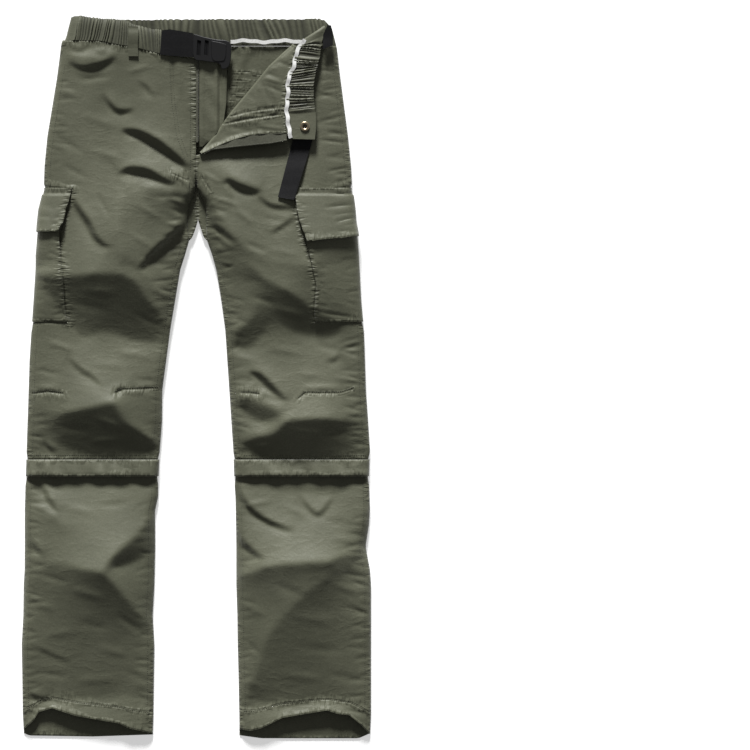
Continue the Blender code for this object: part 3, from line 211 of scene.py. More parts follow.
# Turned-back front waistband, from its end tab to its fold: inner x, inner y, outer x, outer y, lift
TURNED_BAND = (
    (136.5, 346.5, 172.5, 345.5, 0.0), (133.2, 356, 173.6, 355, 0.0), (131.4, 368, 174.2, 368, 0.0),
    (131, 380, 174, 381, 0.0), (131.4, 386, 173, 389, 1.2), (132, 392, 172.4, 397, 0.0),
    (132.6, 398, 172, 404, 1.5), (133, 405, 171.4, 411, 0.0), (133, 412, 171.3, 418, 1.4),
    (133.2, 419, 171.5, 425, 0.0), (134, 426, 172, 431, 1.6), (135.5, 433, 173.5, 438, 0.2),
    (137.5, 440, 175, 445, 1.7), (140, 448, 177, 452, 0.0), (142.5, 456, 179, 459, 1.8),
    (144.5, 464, 180.5, 467, 0.2), (148, 473, 182, 478, 1.2), (157, 488, 189, 508, 0.3),
)
# Part of that band still lying under the fold
HIDDEN_BAND = ((176, 485.5, 194, 503), (193, 484.5, 197, 498))

# Lower edge of the left fly facing that hangs below the turned corner: x, y
ZIP_LIP = ((10, 324), (25, 331), (50, 334), (80, 337), (110, 340), (131, 344))

# Waistbands: x, top y
BACK_BAND_TOP = ((-182, 519), (-100, 520), (0, 521), (120, 521), (178, 521.5), (190, 518), (198, 506))
FRONT_BAND_TOP = ((-183, 524), (-176, 526.3), (-165, 526), (-155, 524), (-140, 522), (-105, 520),
                  (-85, 511), (-46, 504))

# Back pockets and flaps: corner points (x, y), seen from above
BACK_POCKET_RIGHT = ((-47, 352), (-208, 379), (-216, 284), (-65, 260))
BACK_FLAP_RIGHT = ((-35.5, 414.6), (-193.6, 448), (-198.6, 381), (-123, 352), (-49.4, 353.8))
BACK_POCKET_LEFT = ((43, 352), (200, 379), (211, 283), (70, 260.3))
BACK_FLAP_LEFT = ((18.1, 414.7), (198.5, 444), (200.2, 383.4), (120, 356), (40.6, 359))

# Buckle half: corner points (x, y)
BUCKLE = ((-4, 499), (13, 494), (30, 490.5), (44, 489), (51, 483), (50.5, 462), (47, 451),
          (38, 448), (33, 456), (12, 459.5), (-3, 464.5))

# Belt loops on the back: centre x, lower y, upper y, lean, width
BACK_LOOPS = ((-140, 477, 516, 6, 13), (-4.3, 475.6, 518, 0, 14), (167.5, 477, 522, -3, 13))

BACK_BAND_GATHERS = 44
FRONT_BAND_GATHERS = 26

# Small folds with one steep side: name, crest points (x, y), drop, reach of the steep side
SMALL_FOLDS = (
    ("band tuck a", ((-183, 480), (-170, 478), (-154, 482)), 4, 5),
    ("band tuck b", ((-146, 475), (-137, 473), (-128, 478)), 3, 4),
    ("hip mark", ((-84, 431), (-70, 424), (-60, 407)), 2.5, 5),
    ("thigh mark", ((-186, 33), (-166, 15), (-147, 3), (-134, -13)), 3.5, 7),
    ("knee nick", ((-219, -90), (-212, -99), (-203, -107)), 4, 5),
    ("calf fold b", ((-238, -234), (-230, -243), (-220, -257)), 4, 6),
    ("shin mark", ((-240, -387), (-222, -393), (-198, -404), (-180, -411)), 2, 5),
    ("hem nick", ((-241, -453), (-228, -462), (-210, -461)), 4, 8),
    ("flap fold left", ((90, 267), (110, 253), (146, 248)), 4, 7),
    ("stroke left", ((107, 210), (122, 221), (146, 237)), 3.5, 6),
    ("groin streak left", ((17, 232), (35, 219), (58, 199)), 4, 6),
    ("knee nick left", ((189, 28), (199, 28), (208, 37)), 3, 5),
    ("band tuck left", ((151, -169), (165, -185), (177, -194), (188, -184), (199, -171)), 4, 7),
)

# Creases and seams pressed or raised in the front: x, y at each end, height, half width
STROKES = (
    # knee darts
    (-238, -23, -215, -20, -1.6, 2.6), (-215, -20, -192, -23, -2.0, 2.6), (-118, -22, -105, -17, -2.4, 3.0),
    (-105, -17, -52, -15, -1.4, 2.4), (-114, -26, -108, -16, -2.0, 4.0), (-232, -14, -200, -13, 1.0, 4.0),
    (63, -22, 80, -22, -1.5, 2.4), (80, -22, 92, -24, -1.8, 2.4), (148, -31, 158, -22, -2.0, 2.6),
    (158, -22, 210, -22, -1.6, 2.4), (210, -22, 230, -15, -1.4, 2.4), (150, -14, 205, -13, 1.0, 4.0),
    # pocket seams
    (-187, 256, -190, 222, -1.0, 2.4), (-195, 205, -190, 84, -1.2, 2.4), (-238, 85, -187, 80, -1.2, 2.6),
    (175, 96, 228, 88, -1.2, 2.6), (158, 196, 174, 130, -1.0, 2.4), (174, 130, 172, 84, -1.0, 2.4),
    # crotch
    (-15, 300, -2, 268, -1.6, 3.0), (-26, 292, -6, 275, 1.2, 3.0), (-40, 262, -12, 250, 1.4, 4.0),
    (8, 292, 22, 270, -1.2, 3.0), (4, 300, 34, 284, 1.0, 3.6), (-34, 244, -13, 236, -1.6, 3.4),
    (18, 248, 44, 240, -1.4, 3.4), (20, 214, 52, 190, 1.2, 4.0), (-44, 226, -14, 218, 1.2, 4.0),
    (-60, 262, -18, 262, -1.0, 3.4), (24, 262, 62, 250, 1.0, 3.6), (-48, 205, -18, 196, -1.2, 3.6),
    # fly pleat and its seam
    (-35, 468, -31, 403, -1.5, 3.0), (-31, 403, -22, 352, -1.0, 3.0), (-26, 468, -22, 408, 0.9, 3.2),
    # hips and thighs
    (-176, 446, -150, 440, 1.0, 4.0), (-168, 432, -128, 437, -0.9, 4.0), (-204, 420, -172, 410, 0.8, 5.0),
    (-160, 380, -118, 366, 0.8, 6.0), (-206, 352, -168, 330, -0.8, 5.0), (-96, 444, -70, 452, 0.9, 4.0),
    (-150, 330, -112, 318, 0.9, 6.0), (-190, 306, -160, 292, -0.8, 4.0), (-84, 250, -52, 232, 1.0, 5.0),
    (-140, 262, -126, 236, -0.9, 4.0), (-88, 205, -64, 190, 1.0, 5.0), (-76, 176, -44, 164, -1.1, 5.0),
    (-64, 132, -40, 118, 1.0, 5.0), (-86, 92, -52, 74, -0.9, 5.0), (-160, 128, -120, 124, 0.9, 6.0),
    (-172, 108, -128, 98, -0.8, 6.0), (-214, 52, -176, 40, 0.9, 5.0), (-110, 38, -66, 30, 0.8, 6.0),
    (-150, 24, -104, 16, 0.7, 6.0), (-228, 12, -196, 4, -0.8, 4.0), (-86, -2, -56, -6, -0.9, 4.0),
    (-140, -60, -112, -70, 1.0, 5.0), (-196, -70, -160, -76, -1.0, 5.0), (-150, -92, -112, -88, 0.9, 5.0),
    (58, 244, 84, 224, 1.0, 5.0), (96, 232, 130, 226, -0.8, 5.0), (70, 196, 100, 184, -1.0, 4.0),
    (110, 186, 148, 178, 0.8, 6.0), (36, 168, 64, 158, 1.0, 4.0), (80, 118, 116, 108, -0.9, 5.0),
    (120, 100, 154, 90, 0.9, 5.0), (46, 92, 74, 80, -0.9, 4.0), (52, 30, 86, 26, 0.8, 5.0),
    (110, 44, 150, 36, 0.8, 6.0), (176, 48, 206, 40, -0.8, 5.0), (150, 6, 186, 2, 0.7, 6.0),
    (60, 0, 84, -4, -0.8, 4.0), (96, -20, 124, -30, 1.0, 4.0), (140, -76, 176, -80, 0.9, 5.0),
    (186, -84, 222, -78, -1.0, 5.0), (84, -100, 108, -98, 0.9, 4.0), (204, 0, 234, -4, 0.9, 4.0),
    # lower legs
    (-232, -172, -204, -176, 0.9, 4.0), (-190, -186, -150, -196, 0.8, 6.0),
    (-136, -186, -100, -182, -0.8, 5.0),
    (-220, -286, -186, -296, -0.9, 5.0), (-176, -306, -136, -318, 0.9, 6.0),
    (-236, -322, -206, -336, 0.8, 5.0),
    (-110, -346, -82, -366, -0.9, 5.0), (-170, -356, -132, -362, -0.7, 6.0),
    (-214, -372, -178, -366, 0.7, 6.0),
    (-136, -392, -100, -402, 0.7, 6.0), (-226, -428, -190, -434, -0.7, 5.0),
    (-172, -440, -120, -436, 0.7, 6.0),
    (-100, -428, -70, -440, -0.7, 5.0), (72, -186, 104, -178, 0.8, 4.0), (132, -186, 160, -200, 0.8, 5.0),
    (184, -206, 222, -214, -0.7, 6.0), (200, -232, 240, -238, 0.8, 5.0), (66, -268, 88, -262, -0.8, 4.0),
    (120, -300, 156, -316, -0.8, 6.0), (204, -300, 240, -312, 0.9, 5.0), (212, -330, 246, -344, -0.8, 5.0),
    (150, -346, 196, -352, 0.7, 7.0), (70, -330, 98, -342, 0.8, 5.0), (72, -380, 92, -400, -0.8, 4.0),
    (150, -392, 206, -396, -0.6, 7.0), (130, -430, 176, -436, 0.7, 6.0), (196, -430, 238, -440, -0.7, 6.0),
    (70, -438, 96, -448, 0.7, 5.0),
)

# Seam puckers: edge, y from, y to, spacing, reach, depth
PUCKERS = (
    ("side right", 430, 300, 15, 22, 0.6), ("side right", -58, -116, 10, 20, 0.9),
    ("side right", -150, -500, 12, 20, 0.9), ("side right", 250, 90, 13, 16, 0.5),
    ("inner right", 240, 80, 9, 24, 1.0), ("inner right", 60, -116, 13, 18, 0.7),
    ("inner right", -160, -490, 14, 18, 0.7), ("inner left", 240, 60, 10, 22, 0.9),
    ("inner left", 40, -116, 13, 18, 0.7), ("inner left", -160, -490, 14, 18, 0.7),
    ("side left", 450, 250, 10, 30, 1.0), ("side left", 240, 80, 12, 20, 0.7),
    ("side left", 60, -118, 9, 24, 1.0), ("side left", -200, -500, 11, 22, 1.0),
    ("pocket right", 250, 90, 10, 10, 0.7), ("pocket left", 250, 90, 10, 12, 0.7),
)


# Creases of the turned corner, where the wrong side of the front shows: x, y at each end, height, half width
TURNED_STROKES = (
    (92, 446, 118, 436, -1.0, 2.4), (36, 378, 80, 388, -1.3, 2.0), (80, 388, 129, 394, -1.3, 2.0),
    (40, 369, 84, 377, -1.1, 1.8), (84, 377, 129, 383, -1.1, 1.8), (38, 373, 84, 382, 0.8, 2.6),
    (96, 436, 124, 428, 1.0, 2.4), (100, 424, 126, 414, -1.0, 2.4), (86, 456, 116, 448, 1.0, 2.6),
    (110, 462, 136, 452, -1.0, 2.6), (96, 470, 128, 466, 0.9, 3.0), (78, 384, 116, 380, -0.8, 2.6),
    (60, 372, 100, 370, 0.7, 3.4), (40, 366, 76, 358, -0.7, 3.4), (90, 366, 126, 360, 0.8, 3.2),
    (24, 346, 70, 348, 0.6, 3.2), (104, 376, 124, 396, 0.8, 2.6), (72, 428, 84, 402, -1.0, 2.0),
    (96, 428, 106, 400, -0.9, 2.0), (84, 440, 92, 416, 0.9, 2.2), (110, 420, 118, 398, 0.9, 2.2),
)

# Other seams that run across the fronts and, inside the open fly, the left back: x, y
FRONT_SEAMS = {
    "right": (((-15, 300), (-2, 268)), ((-34, 296), (-12, 286)), ((-235, 279), (-180, 274))),
    "left": (((8, 292), (22, 270)), ((140, 268), (215, 276)), ((36, 376), (80, 386), (128, 392)),
             ((40, 368), (84, 376), (128, 382))),
}
BACK_SEAMS = (((44, 446), (74, 444), (120, 436)), ((44, 434), (116, 426)), ((46, 424), (112, 416)),
              ((46, 413), (104, 406)), ((48, 402), (96, 396)), ((50, 391), (84, 386)))
# Creases of the left back's wrong side, inside the open fly: x, y
INSIDE_CREASES = (((69, 482), (58, 455), (50, 430), (47, 404)),)

# Knee darts: x, y
KNEE_DARTS = {
    "right": (((-237, -23), (-215, -20), (-193, -23)), ((-117, -22), (-105, -17), (-56, -15))),
    "left": (((66, -22), (80, -22), (91, -24)), ((149, -30), (158, -22), (210, -22), (228, -16))),
}


class Edge(Enum):
    """Which table and column holds an edge of the garment."""

    SIDE_RIGHT = "side right"
    SIDE_LEFT = "side left"
    INNER_RIGHT = "inner right"
    INNER_LEFT = "inner left"
    POCKET_RIGHT = "pocket right"
    POCKET_LEFT = "pocket left"

    def at(self, y: float) -> float:
        """Position across the garment at a height."""
        table = {"side": SIDES, "inner": FRONT_INNER, "pocket": POCKET_FRONT}[self.value.split()[0]]
        return float(column(table, 1 if self.value.endswith("right") else 2, y))

    @property
    def inward(self) -> int:
        """Direction from the edge into the cloth."""
        right = self.value.endswith("right")
        if self.value.startswith("inner"):
            return -1 if right else 1
        if self.value.startswith("pocket"):
            return -1 if right else 1
        return 1 if right else -1


def column(table: Sequence, index: int, y):
    """One table column at a height or heights, straight between its rows."""
    rows = sorted(table)
    return np.interp(y, [r[0] for r in rows], [r[index] for r in rows])


def along(points: Sequence, x):
    """Height of a line of (x, y) points at x."""
    rows = sorted(points)
    return np.interp(x, [r[0] for r in rows], [r[1] for r in rows])


def base_z(y):
    """Underside of the back panels."""
    return column(BASE, 1, y)


def rim_z(y):
    """Lowest edge of the front, just above the back panel or the back waistband."""
    return base_z(y) + STACK + np.interp(y, (466, 478), (0.0, 2.0))


def curve(points: Sequence, step: float) -> np.ndarray:
    """Points along a smooth line through a few points.

    Args:
        points: the few points, of any number of columns.
        step: spacing of the result.

    Returns:
        The points of the line.
    """
    p = np.asarray(points, float)
    ends = np.vstack([2 * p[0] - p[1], p, 2 * p[-1] - p[-2]])
    out = []
    for i in range(1, len(ends) - 2):
        a, b, c, d = ends[i - 1:i + 3]
        count = max(2, int(np.hypot(c[0] - b[0], c[1] - b[1]) / step))
        for t in np.arange(count) / count:
            out.append(0.5 * (2 * b + (c - a) * t + (2 * a - 5 * b + 4 * c - d) * t ** 2
                              + (3 * b - a - 3 * c + d) * t ** 3))
    out.append(p[-1])
    return np.array(out)


def gathers(count: float, s, sharp: float = 0.7, wobble: float = 0.35):
    """Rounded ridges with narrow hollows between them, unevenly spaced.

    Args:
        count: number of ridges from s = 0 to s = 1.
        s: position along the band.
        sharp: below 1 the ridges are broad and the hollows narrow.
        wobble: unevenness of the spacing, in ridges.

    Returns:
        Height from 0 to 1.
    """
    s = np.asarray(s, float)
    turn = count * s
    for k, size, start in ((3, 1.0, 0.4), (7, 0.8, 1.9), (12, 0.5, 4.1), (19, 0.35, 2.6)):
        turn = turn + wobble * size * np.sin(2 * np.pi * k * s + start)
    size = 0.72 + 0.28 * np.sin(2 * np.pi * 5.3 * s + 1.1)
    return size * (0.5 - 0.5 * np.cos(2 * np.pi * turn)) ** sharp


@dataclass
class Relief:
    """Height of the front of the laid cloth, stretched over its ridges and hollows."""

    low: tuple[float, float] = (-264.0, -532.0)
    high: tuple[float, float] = (264.0, 532.0)
    step: float = 2.0
    total: np.ndarray = field(init=False)
    count: np.ndarray = field(init=False)
    field_z: np.ndarray = field(init=False)

    def __post_init__(self) -> None:
        """Works the whole field out once."""
        nx = int((self.high[0] - self.low[0]) / self.step) + 1
        ny = int((self.high[1] - self.low[1]) / self.step) + 1
        self.total = np.zeros((ny, nx))
        self.count = np.zeros((ny, nx))
        self.stamp_edges()
        for _, points in LINES:
            p = np.asarray(points, float)
            run = np.r_[0, np.cumsum(np.hypot(*np.diff(p[:, :2], axis=0).T))]
            s = np.arange(0, run[-1], self.step / 2)
            self.stamp(*(np.interp(s, run, p[:, k]) for k in range(3)))
        fixed = self.count > 0
        value = np.where(fixed, self.total / np.maximum(self.count, 1), 0)
        value = np.where(fixed, RELIEF_FLOOR + (value - RELIEF_FLOOR) * RELIEF_GAIN, 0)
        self.field_z = self.blur(self.stretch(fixed, value), 1)
        for _, points, drop, reach in FOLDS + SMALL_FOLDS:
            self.add_fold(points, drop, reach)
        self.field_z = self.blur(self.field_z, 1)
        for x0, y0, x1, y1, height, width in STROKES:
            self.add_stroke(x0, y0, x1, y1, height, width)
        self.add_puckers()

    def stamp(self, x: np.ndarray, y: np.ndarray, z: np.ndarray) -> None:
        """Fixes the height of the cells under some points."""
        i = np.rint((y - self.low[1]) / self.step).astype(int)
        j = np.rint((x - self.low[0]) / self.step).astype(int)
        ok = (i >= 0) & (i < self.total.shape[0]) & (j >= 0) & (j < self.total.shape[1])
        np.add.at(self.total, (i[ok], j[ok]), np.asarray(z)[ok])
        np.add.at(self.count, (i[ok], j[ok]), 1)

    def stamp_edges(self) -> None:
        """Fixes the level of the front just inside each of its edges."""
        y = np.arange(-528.0, 528.0, self.step / 2)
        inset = np.where(y > 276, 0, 7)
        self.stamp(column(SIDES, 1, y) + 7, y, column(EDGE_LEVEL, 1, y))
        self.stamp(column(SIDES, 2, y) - 7, y, column(EDGE_LEVEL, 4, y))
        self.stamp(column(FRONT_INNER, 1, y) - inset, y, column(EDGE_LEVEL, 2, y))
        self.stamp(column(FRONT_INNER, 2, y) + inset, y, column(EDGE_LEVEL, 3, y))

    @staticmethod
    def stretch(fixed: np.ndarray, value: np.ndarray) -> np.ndarray:
        """Membrane over the fixed cells, settled from coarse to fine.

        Args:
            fixed: which cells are held.
            value: their heights.

        Returns:
            The height of every cell.
        """
        levels = [(fixed, value)]
        while min(fixed.shape) > 10:
            ny, nx = fixed.shape
            count = np.zeros(((ny + 1) // 2, (nx + 1) // 2))
            total = np.zeros_like(count)
            iy, ix = np.nonzero(fixed)
            np.add.at(count, (iy // 2, ix // 2), 1)
            np.add.at(total, (iy // 2, ix // 2), value[iy, ix])
            fixed = count > 0
            value = np.where(fixed, total / np.maximum(count, 1), 0)
            levels.append((fixed, value))
        z = np.full(fixed.shape, value[fixed].mean())
        for held, level in reversed(levels):
            if z.shape != held.shape:
                z = np.repeat(np.repeat(z, 2, 0), 2, 1)[:held.shape[0], :held.shape[1]]
            z = np.where(held, level, z)
            for _ in range(80):
                p = np.pad(z, 1, mode="edge")
                z = 0.25 * (p[:-2, 1:-1] + p[2:, 1:-1] + p[1:-1, :-2] + p[1:-1, 2:])
                z = np.where(held, level, z)
        return z

    @staticmethod
    def blur(z: np.ndarray, cells: int) -> np.ndarray:
        """Two passes of a box blur of the given half width."""
        for _ in range(2):
            for axis in (0, 1):
                total = np.zeros_like(z)
                for k in range(-cells, cells + 1):
                    index = np.clip(np.arange(z.shape[axis]) + k, 0, z.shape[axis] - 1)
                    total += np.take(z, index, axis=axis)
                z = total / (2 * cells + 1)
        return z

    def near(self, points: np.ndarray, margin: float) -> tuple[np.ndarray, np.ndarray, tuple]:
        """Cells round some points: their x, their y and their place in the field."""
        j0 = max(int((points[:, 0].min() - margin - self.low[0]) / self.step), 0)
        j1 = int((points[:, 0].max() + margin - self.low[0]) / self.step) + 1
        i0 = max(int((points[:, 1].min() - margin - self.low[1]) / self.step), 0)
        i1 = int((points[:, 1].max() + margin - self.low[1]) / self.step) + 1
        part = (slice(i0, i1), slice(j0, j1))
        ny, nx = self.field_z[part].shape
        gx, gy = np.meshgrid(self.low[0] + self.step * (j0 + np.arange(nx)),
                             self.low[1] + self.step * (i0 + np.arange(ny)))
        return gx, gy, part

    def add_fold(self, points: Sequence, drop: float, reach: float) -> None:
        """A crest with a steep side on the right of its run and a slow rise on the left."""
        crest = curve(points, 3.0)
        run = np.gradient(crest, axis=0)
        run /= np.linalg.norm(run, axis=1)[:, None]
        gx, gy, part = self.near(crest, 45)
        k = ((gx[..., None] - crest[:, 0]) ** 2 + (gy[..., None] - crest[:, 1]) ** 2).argmin(-1)
        dx, dy = gx - crest[k, 0], gy - crest[k, 1]
        off = dx * run[k, 1] - dy * run[k, 0]
        past = dx * run[k, 0] + dy * run[k, 1]
        swell = np.sin(np.pi * k / (len(crest) - 1)).clip(0, 1) ** 0.6
        width = reach * np.maximum(swell, 0.25)
        turn = 0.5 - 0.5 * np.cos(np.pi * np.clip(off / width, 0, 1))
        rise = 0.45 * np.exp(np.minimum(off, 0) / (reach * 1.6))
        sink = -0.55 * np.exp(-np.maximum(off - width, 0) / (reach * 1.3))
        shape = np.where(off < 0, rise, np.where(off < width, 0.45 - turn, sink))
        self.field_z[part] += drop * shape * swell * np.exp(-(past / 6.0) ** 2)

    def add_stroke(self, x0: float, y0: float, x1: float, y1: float, height: float,
                   width: float) -> None:
        """A soft ridge, or a trough where the height is negative."""
        ends = np.array(((x0, y0), (x1, y1)), float)
        gx, gy, part = self.near(ends, 3 * width)
        run = ends[1] - ends[0]
        long = float(np.hypot(*run))
        t = ((gx - x0) * run[0] + (gy - y0) * run[1]) / long ** 2
        s = np.clip(t, 0, 1)
        off = np.hypot(gx - x0 - s * run[0], gy - y0 - s * run[1])
        swell = np.sin(np.pi * (0.08 + 0.84 * s)) ** 0.7
        self.field_z[part] += height * swell * np.exp(-(off / width) ** 2)

    def add_puckers(self) -> None:
        """Short uneven troughs that run into the cloth from its seams."""
        rng = np.random.default_rng(SEED)
        for name, high, low, spacing, reach, depth in PUCKERS:
            edge = Edge(name)
            y = high
            while y > low:
                x = edge.at(y) + edge.inward * 3.0
                long = reach * rng.uniform(0.55, 1.5)
                slant = rng.uniform(-0.35, 0.35) * long
                size = depth * rng.uniform(0.4, 1.35)
                self.add_stroke(x, y, x + edge.inward * long, y + slant, -size, rng.uniform(1.8, 3.2))
                y += -spacing * rng.uniform(0.55, 1.5)

    def level(self, x, y) -> np.ndarray:
        """Height of the front at some points."""
        u = np.clip((np.asarray(x, float) - self.low[0]) / self.step, 0, self.total.shape[1] - 1.001)
        v = np.clip((np.asarray(y, float) - self.low[1]) / self.step, 0, self.total.shape[0] - 1.001)
        i, j = v.astype(int), u.astype(int)
        s, t = u - j, v - i
        f = self.field_z
        return ((f[i, j] * (1 - s) + f[i, j + 1] * s) * (1 - t)
                + (f[i + 1, j] * (1 - s) + f[i + 1, j + 1] * s) * t)


def arch(distance, reach: float = SIDE_ROUND):
    """Quarter-round rise from an edge, 0 at the edge and 1 at the reach."""
    s = np.clip(np.asarray(distance, float) / reach, 0.0, 1.0)
    return np.sqrt(1 - (1 - s) ** 2)


def fine_rows(rows: Sequence[float], step: float) -> np.ndarray:
    """The given stations with even ones added between them."""
    out = [float(rows[0])]
    for a, b in zip(rows[:-1], rows[1:]):
        count = max(1, int(round(abs(b - a) / step)))
        out += [a + (b - a) * (k + 1) / count for k in range(count)]
    return np.array(out)


@dataclass
class Leg:
    """One half of the garment: its outline and the surface of its front.

    Args:
        sign: -1 for the half on the left of the picture, the wearer's right.
        relief: the height field of the front.
    """

    sign: int
    relief: Relief
    edge: tuple[float, ...] = (0.0, 0.03, 0.11, 0.24, 0.42, 0.68, 1.0)

    @property
    def index(self) -> int:
        """Table column of this half."""
        return 1 if self.sign < 0 else 2

    def side(self, y):
        """Side seam at a height."""
        return column(SIDES, self.index, y) - self.sign * column(DRAW_IN, 1, y)

    def inner(self, y):
        """Inner edge of the front at a height."""
        inset = np.interp(y, (-156, -144, -117, -108), (0, 1.8, 1.8, 0))
        return column(FRONT_INNER, self.index, y) + self.sign * inset

    def back_inner(self, y):
        """Inner edge of the back at a height; above the crotch the two backs meet."""
        seam = 0.5 * (column(BACK_INNER, 1, y) + column(BACK_INNER, 2, y))
        share = np.clip((np.asarray(y, float) - 200) / 30, 0, 1) ** 0.6
        return self.inner(y) + (seam - self.inner(y)) * share

    def pocket_seam(self) -> list[tuple[float, float]]:
        """Front edge of the thigh pocket."""
        return [(float(column(POCKET_FRONT, self.index, y)), y) for y in range(274, 80, -12)]

    def level_seams(self) -> list[Sequence]:
        """Knee darts and the pocket's lower edge."""
        low = [(float(column(POCKET_FRONT, self.index, 82)), 82.0), (float(self.side(82)), 84.0)]
        return [low, *KNEE_DARTS["right" if self.sign < 0 else "left"]]

    def tilt(self, row: float, x):
        """Height along a row, which bends to follow the waist, the left flap and the hem."""
        y = np.full(np.shape(x), float(row))
        if self.sign < 0 and row > 434:
            y = y + (along(WAIST_LINE, x) - WAIST_Y) * (row - 434) / (WAIST_Y - 434)
        if self.sign > 0 and 150 < row < 243:
            reach = column(POCKET_FRONT, 2, row)
            share = np.clip((x - reach) / (self.side(row) - reach), 0, 1)
            y = y + 9.0 * share * np.interp(row, (150, 197, 212, 243), (0, 1, 1, 0))
        if row < -426:
            hem = along(HEM_RIGHT if self.sign < 0 else HEM_LEFT, x)
            y = y + (hem - HEM_Y) * ((-426 - row) / (-426 - HEM_Y)) ** 1.4
        return y

    def surface(self, x, y, x_side, x_in, soft):
        """Top of the front at some points of a row."""
        rim = rim_z(y)
        rise = arch(np.abs(x - x_side)) * (1 + soft * (arch(np.abs(x - x_in)) - 1))
        top = np.maximum(self.relief.level(x, y), rim + WALL)
        return rim + (top - rim) * rise

    def stations(self, row: float, near: int, far: int) -> np.ndarray:
        """Column positions of a row from the side seam to the inner edge.

        Args:
            row: height of the row.
            near: columns between the side and the pocket's front edge.
            far: columns from there to the inner edge.

        Returns:
            The positions across the garment.
        """
        x_side, x_in = float(self.side(row)), float(self.inner(row))
        step = -self.sign
        edge = np.array(self.edge) * SIDE_ROUND
        start, stop = x_side + step * SIDE_ROUND, x_in - step * SIDE_ROUND
        share = (float(column(POCKET_FRONT, self.index, row)) - start) / (stop - start)
        blend = float(np.interp(row, (-118, 20, 82, 276, 330), (0, 0, 1, 1, 0)))
        mid = start + (stop - start) * (blend * share + (1 - blend) * near / (near + far))
        return np.r_[x_side + step * edge, start + (mid - start) * np.arange(1, near + 1) / near,
                     mid + (stop - mid) * np.arange(1, far + 1) / far, x_in - step * edge[-2::-1]]

    def front_grid(self, rows: Sequence[float], near: int, far: int,
                   x_in_of: Optional[Callable[[float], float]] = None) -> np.ndarray:
        """Points of the front's outer face, a row for each height.

        Args:
            rows: heights from the top down.
            near: columns as in stations.
            far: columns as in stations.
            x_in_of: where the inner edge is folded back, above the corner.

        Returns:
            The points, by row and column.
        """
        grid = []
        for row in rows:
            soft = float(np.interp(row, (262, 300), (1, 0)))
            x = self.stations(row, near, far)
            if x_in_of and row >= CORNER_Y:
                shift = x_in_of(row) - x[-1]
                x = x + shift * (x - x[0]) / (x[-1] - x[0])
            y = self.tilt(row, x)
            grid.append(np.stack([x, y, self.surface(x, y, x[0], x[-1], soft)], axis=1))
        return np.array(grid)


def normals(grid: np.ndarray) -> np.ndarray:
    """Upward unit normals of a grid of points."""
    n = np.cross(np.gradient(grid, axis=1), np.gradient(grid, axis=0))
    n /= np.maximum(np.linalg.norm(n, axis=2)[:, :, None], 1e-9)
    n[n[:, :, 2] < 0] *= -1
    return n




@dataclass
class Cloth:
    """A piece of cloth as an outer and an inner grid of points.

    Args:
        name: the finished piece's name.
        outer: points of the outer face, by row and column.
        inner: points of the inner face.
        keep: which cells are cloth; all of them if left out.
        closed: whether the last column joins the first.
        sewn: whether its edges are seams.
        upright: lines of (x, y) points of other seams that run up the garment.
        level: the same for seams that run across it.
        hollow: how deep each point lies between gathers, from 0 to 1; the material paints shade there.
    """

    name: str
    outer: np.ndarray
    inner: np.ndarray
    keep: Optional[np.ndarray] = None
    closed: bool = False
    sewn: bool = False
    upright: Sequence[Sequence] = ()
    level: Sequence[Sequence] = ()
    hollow: Optional[np.ndarray] = None

    def cells(self) -> np.ndarray:
        """Mask of the cells that are cloth."""
        rows, cols = self.outer.shape[:2]
        if self.keep is not None:
            return self.keep
        return np.ones((rows - 1, cols if self.closed else cols - 1), bool)

    def build(self) -> bpy.types.Object:
        """Closed mesh of the wall between the two faces."""
        rows, cols = self.outer.shape[:2]
        keep = self.cells()
        half = rows * cols
        j, i = np.nonzero(keep)
        nxt = (i + 1) % cols
        a, b, c, d = j * cols + i, j * cols + nxt, (j + 1) * cols + nxt, (j + 1) * cols + i
        faces = [np.stack([a, b, c, d], 1), np.stack([d, c, b, a], 1) + half]
        live = np.pad(keep, 1)
        if self.closed:
            live[1:-1, 0], live[1:-1, -1] = keep[:, -1], keep[:, 0]
        for dj, di, p, q in ((-1, 0, b, a), (1, 0, d, c), (0, -1, a, d), (0, 1, c, b)):
            bare = ~live[j + 1 + dj, i + 1 + di]
            faces.append(np.stack([p[bare], q[bare], q[bare] + half, p[bare] + half], 1))
        verts = np.concatenate([self.outer.reshape(-1, 3), self.inner.reshape(-1, 3)]) * MM
        marks = {}
        if self.sewn or self.upright or self.level:
            for axis, label, lines in ((1, "upright_seam", self.upright), (0, "level_seam", self.level)):
                gap = line_gap(self.outer[..., 0], self.outer[..., 1], lines)
                if self.sewn and not (self.closed and axis == 1):
                    gap = np.minimum(gap, self.edge_gap(axis))
                marks[label] = np.tile(np.clip(1 - gap / SEAM_REACH, 0, 1).reshape(-1), 2)
        # The hollow attribute carries the painted shade between gathers.
        if self.hollow is not None:
            marks["hollow"] = np.tile(self.hollow.reshape(-1), 2)
        return mesh_object(self.name, verts, np.concatenate(faces), marks=marks)

    def edge_gap(self, axis: int) -> np.ndarray:
        """Distance along the cloth from the ends of its rows (axis 1) or of its columns (axis 0)."""
        keep = self.cells()
        step = np.linalg.norm(np.diff(self.outer, axis=axis), axis=2)
        if axis == 1:
            live = np.vstack([keep, keep[-1:]])[:, :step.shape[1]]
        else:
            live = np.hstack([keep, keep[:, -1:]])[:, :step.shape[1]]
        run = np.cumsum(step * live, axis=axis)
        run = np.concatenate([np.zeros_like(run.take([0], axis)), run], axis=axis)
        return np.minimum(run, run.take([-1], axis) - run)


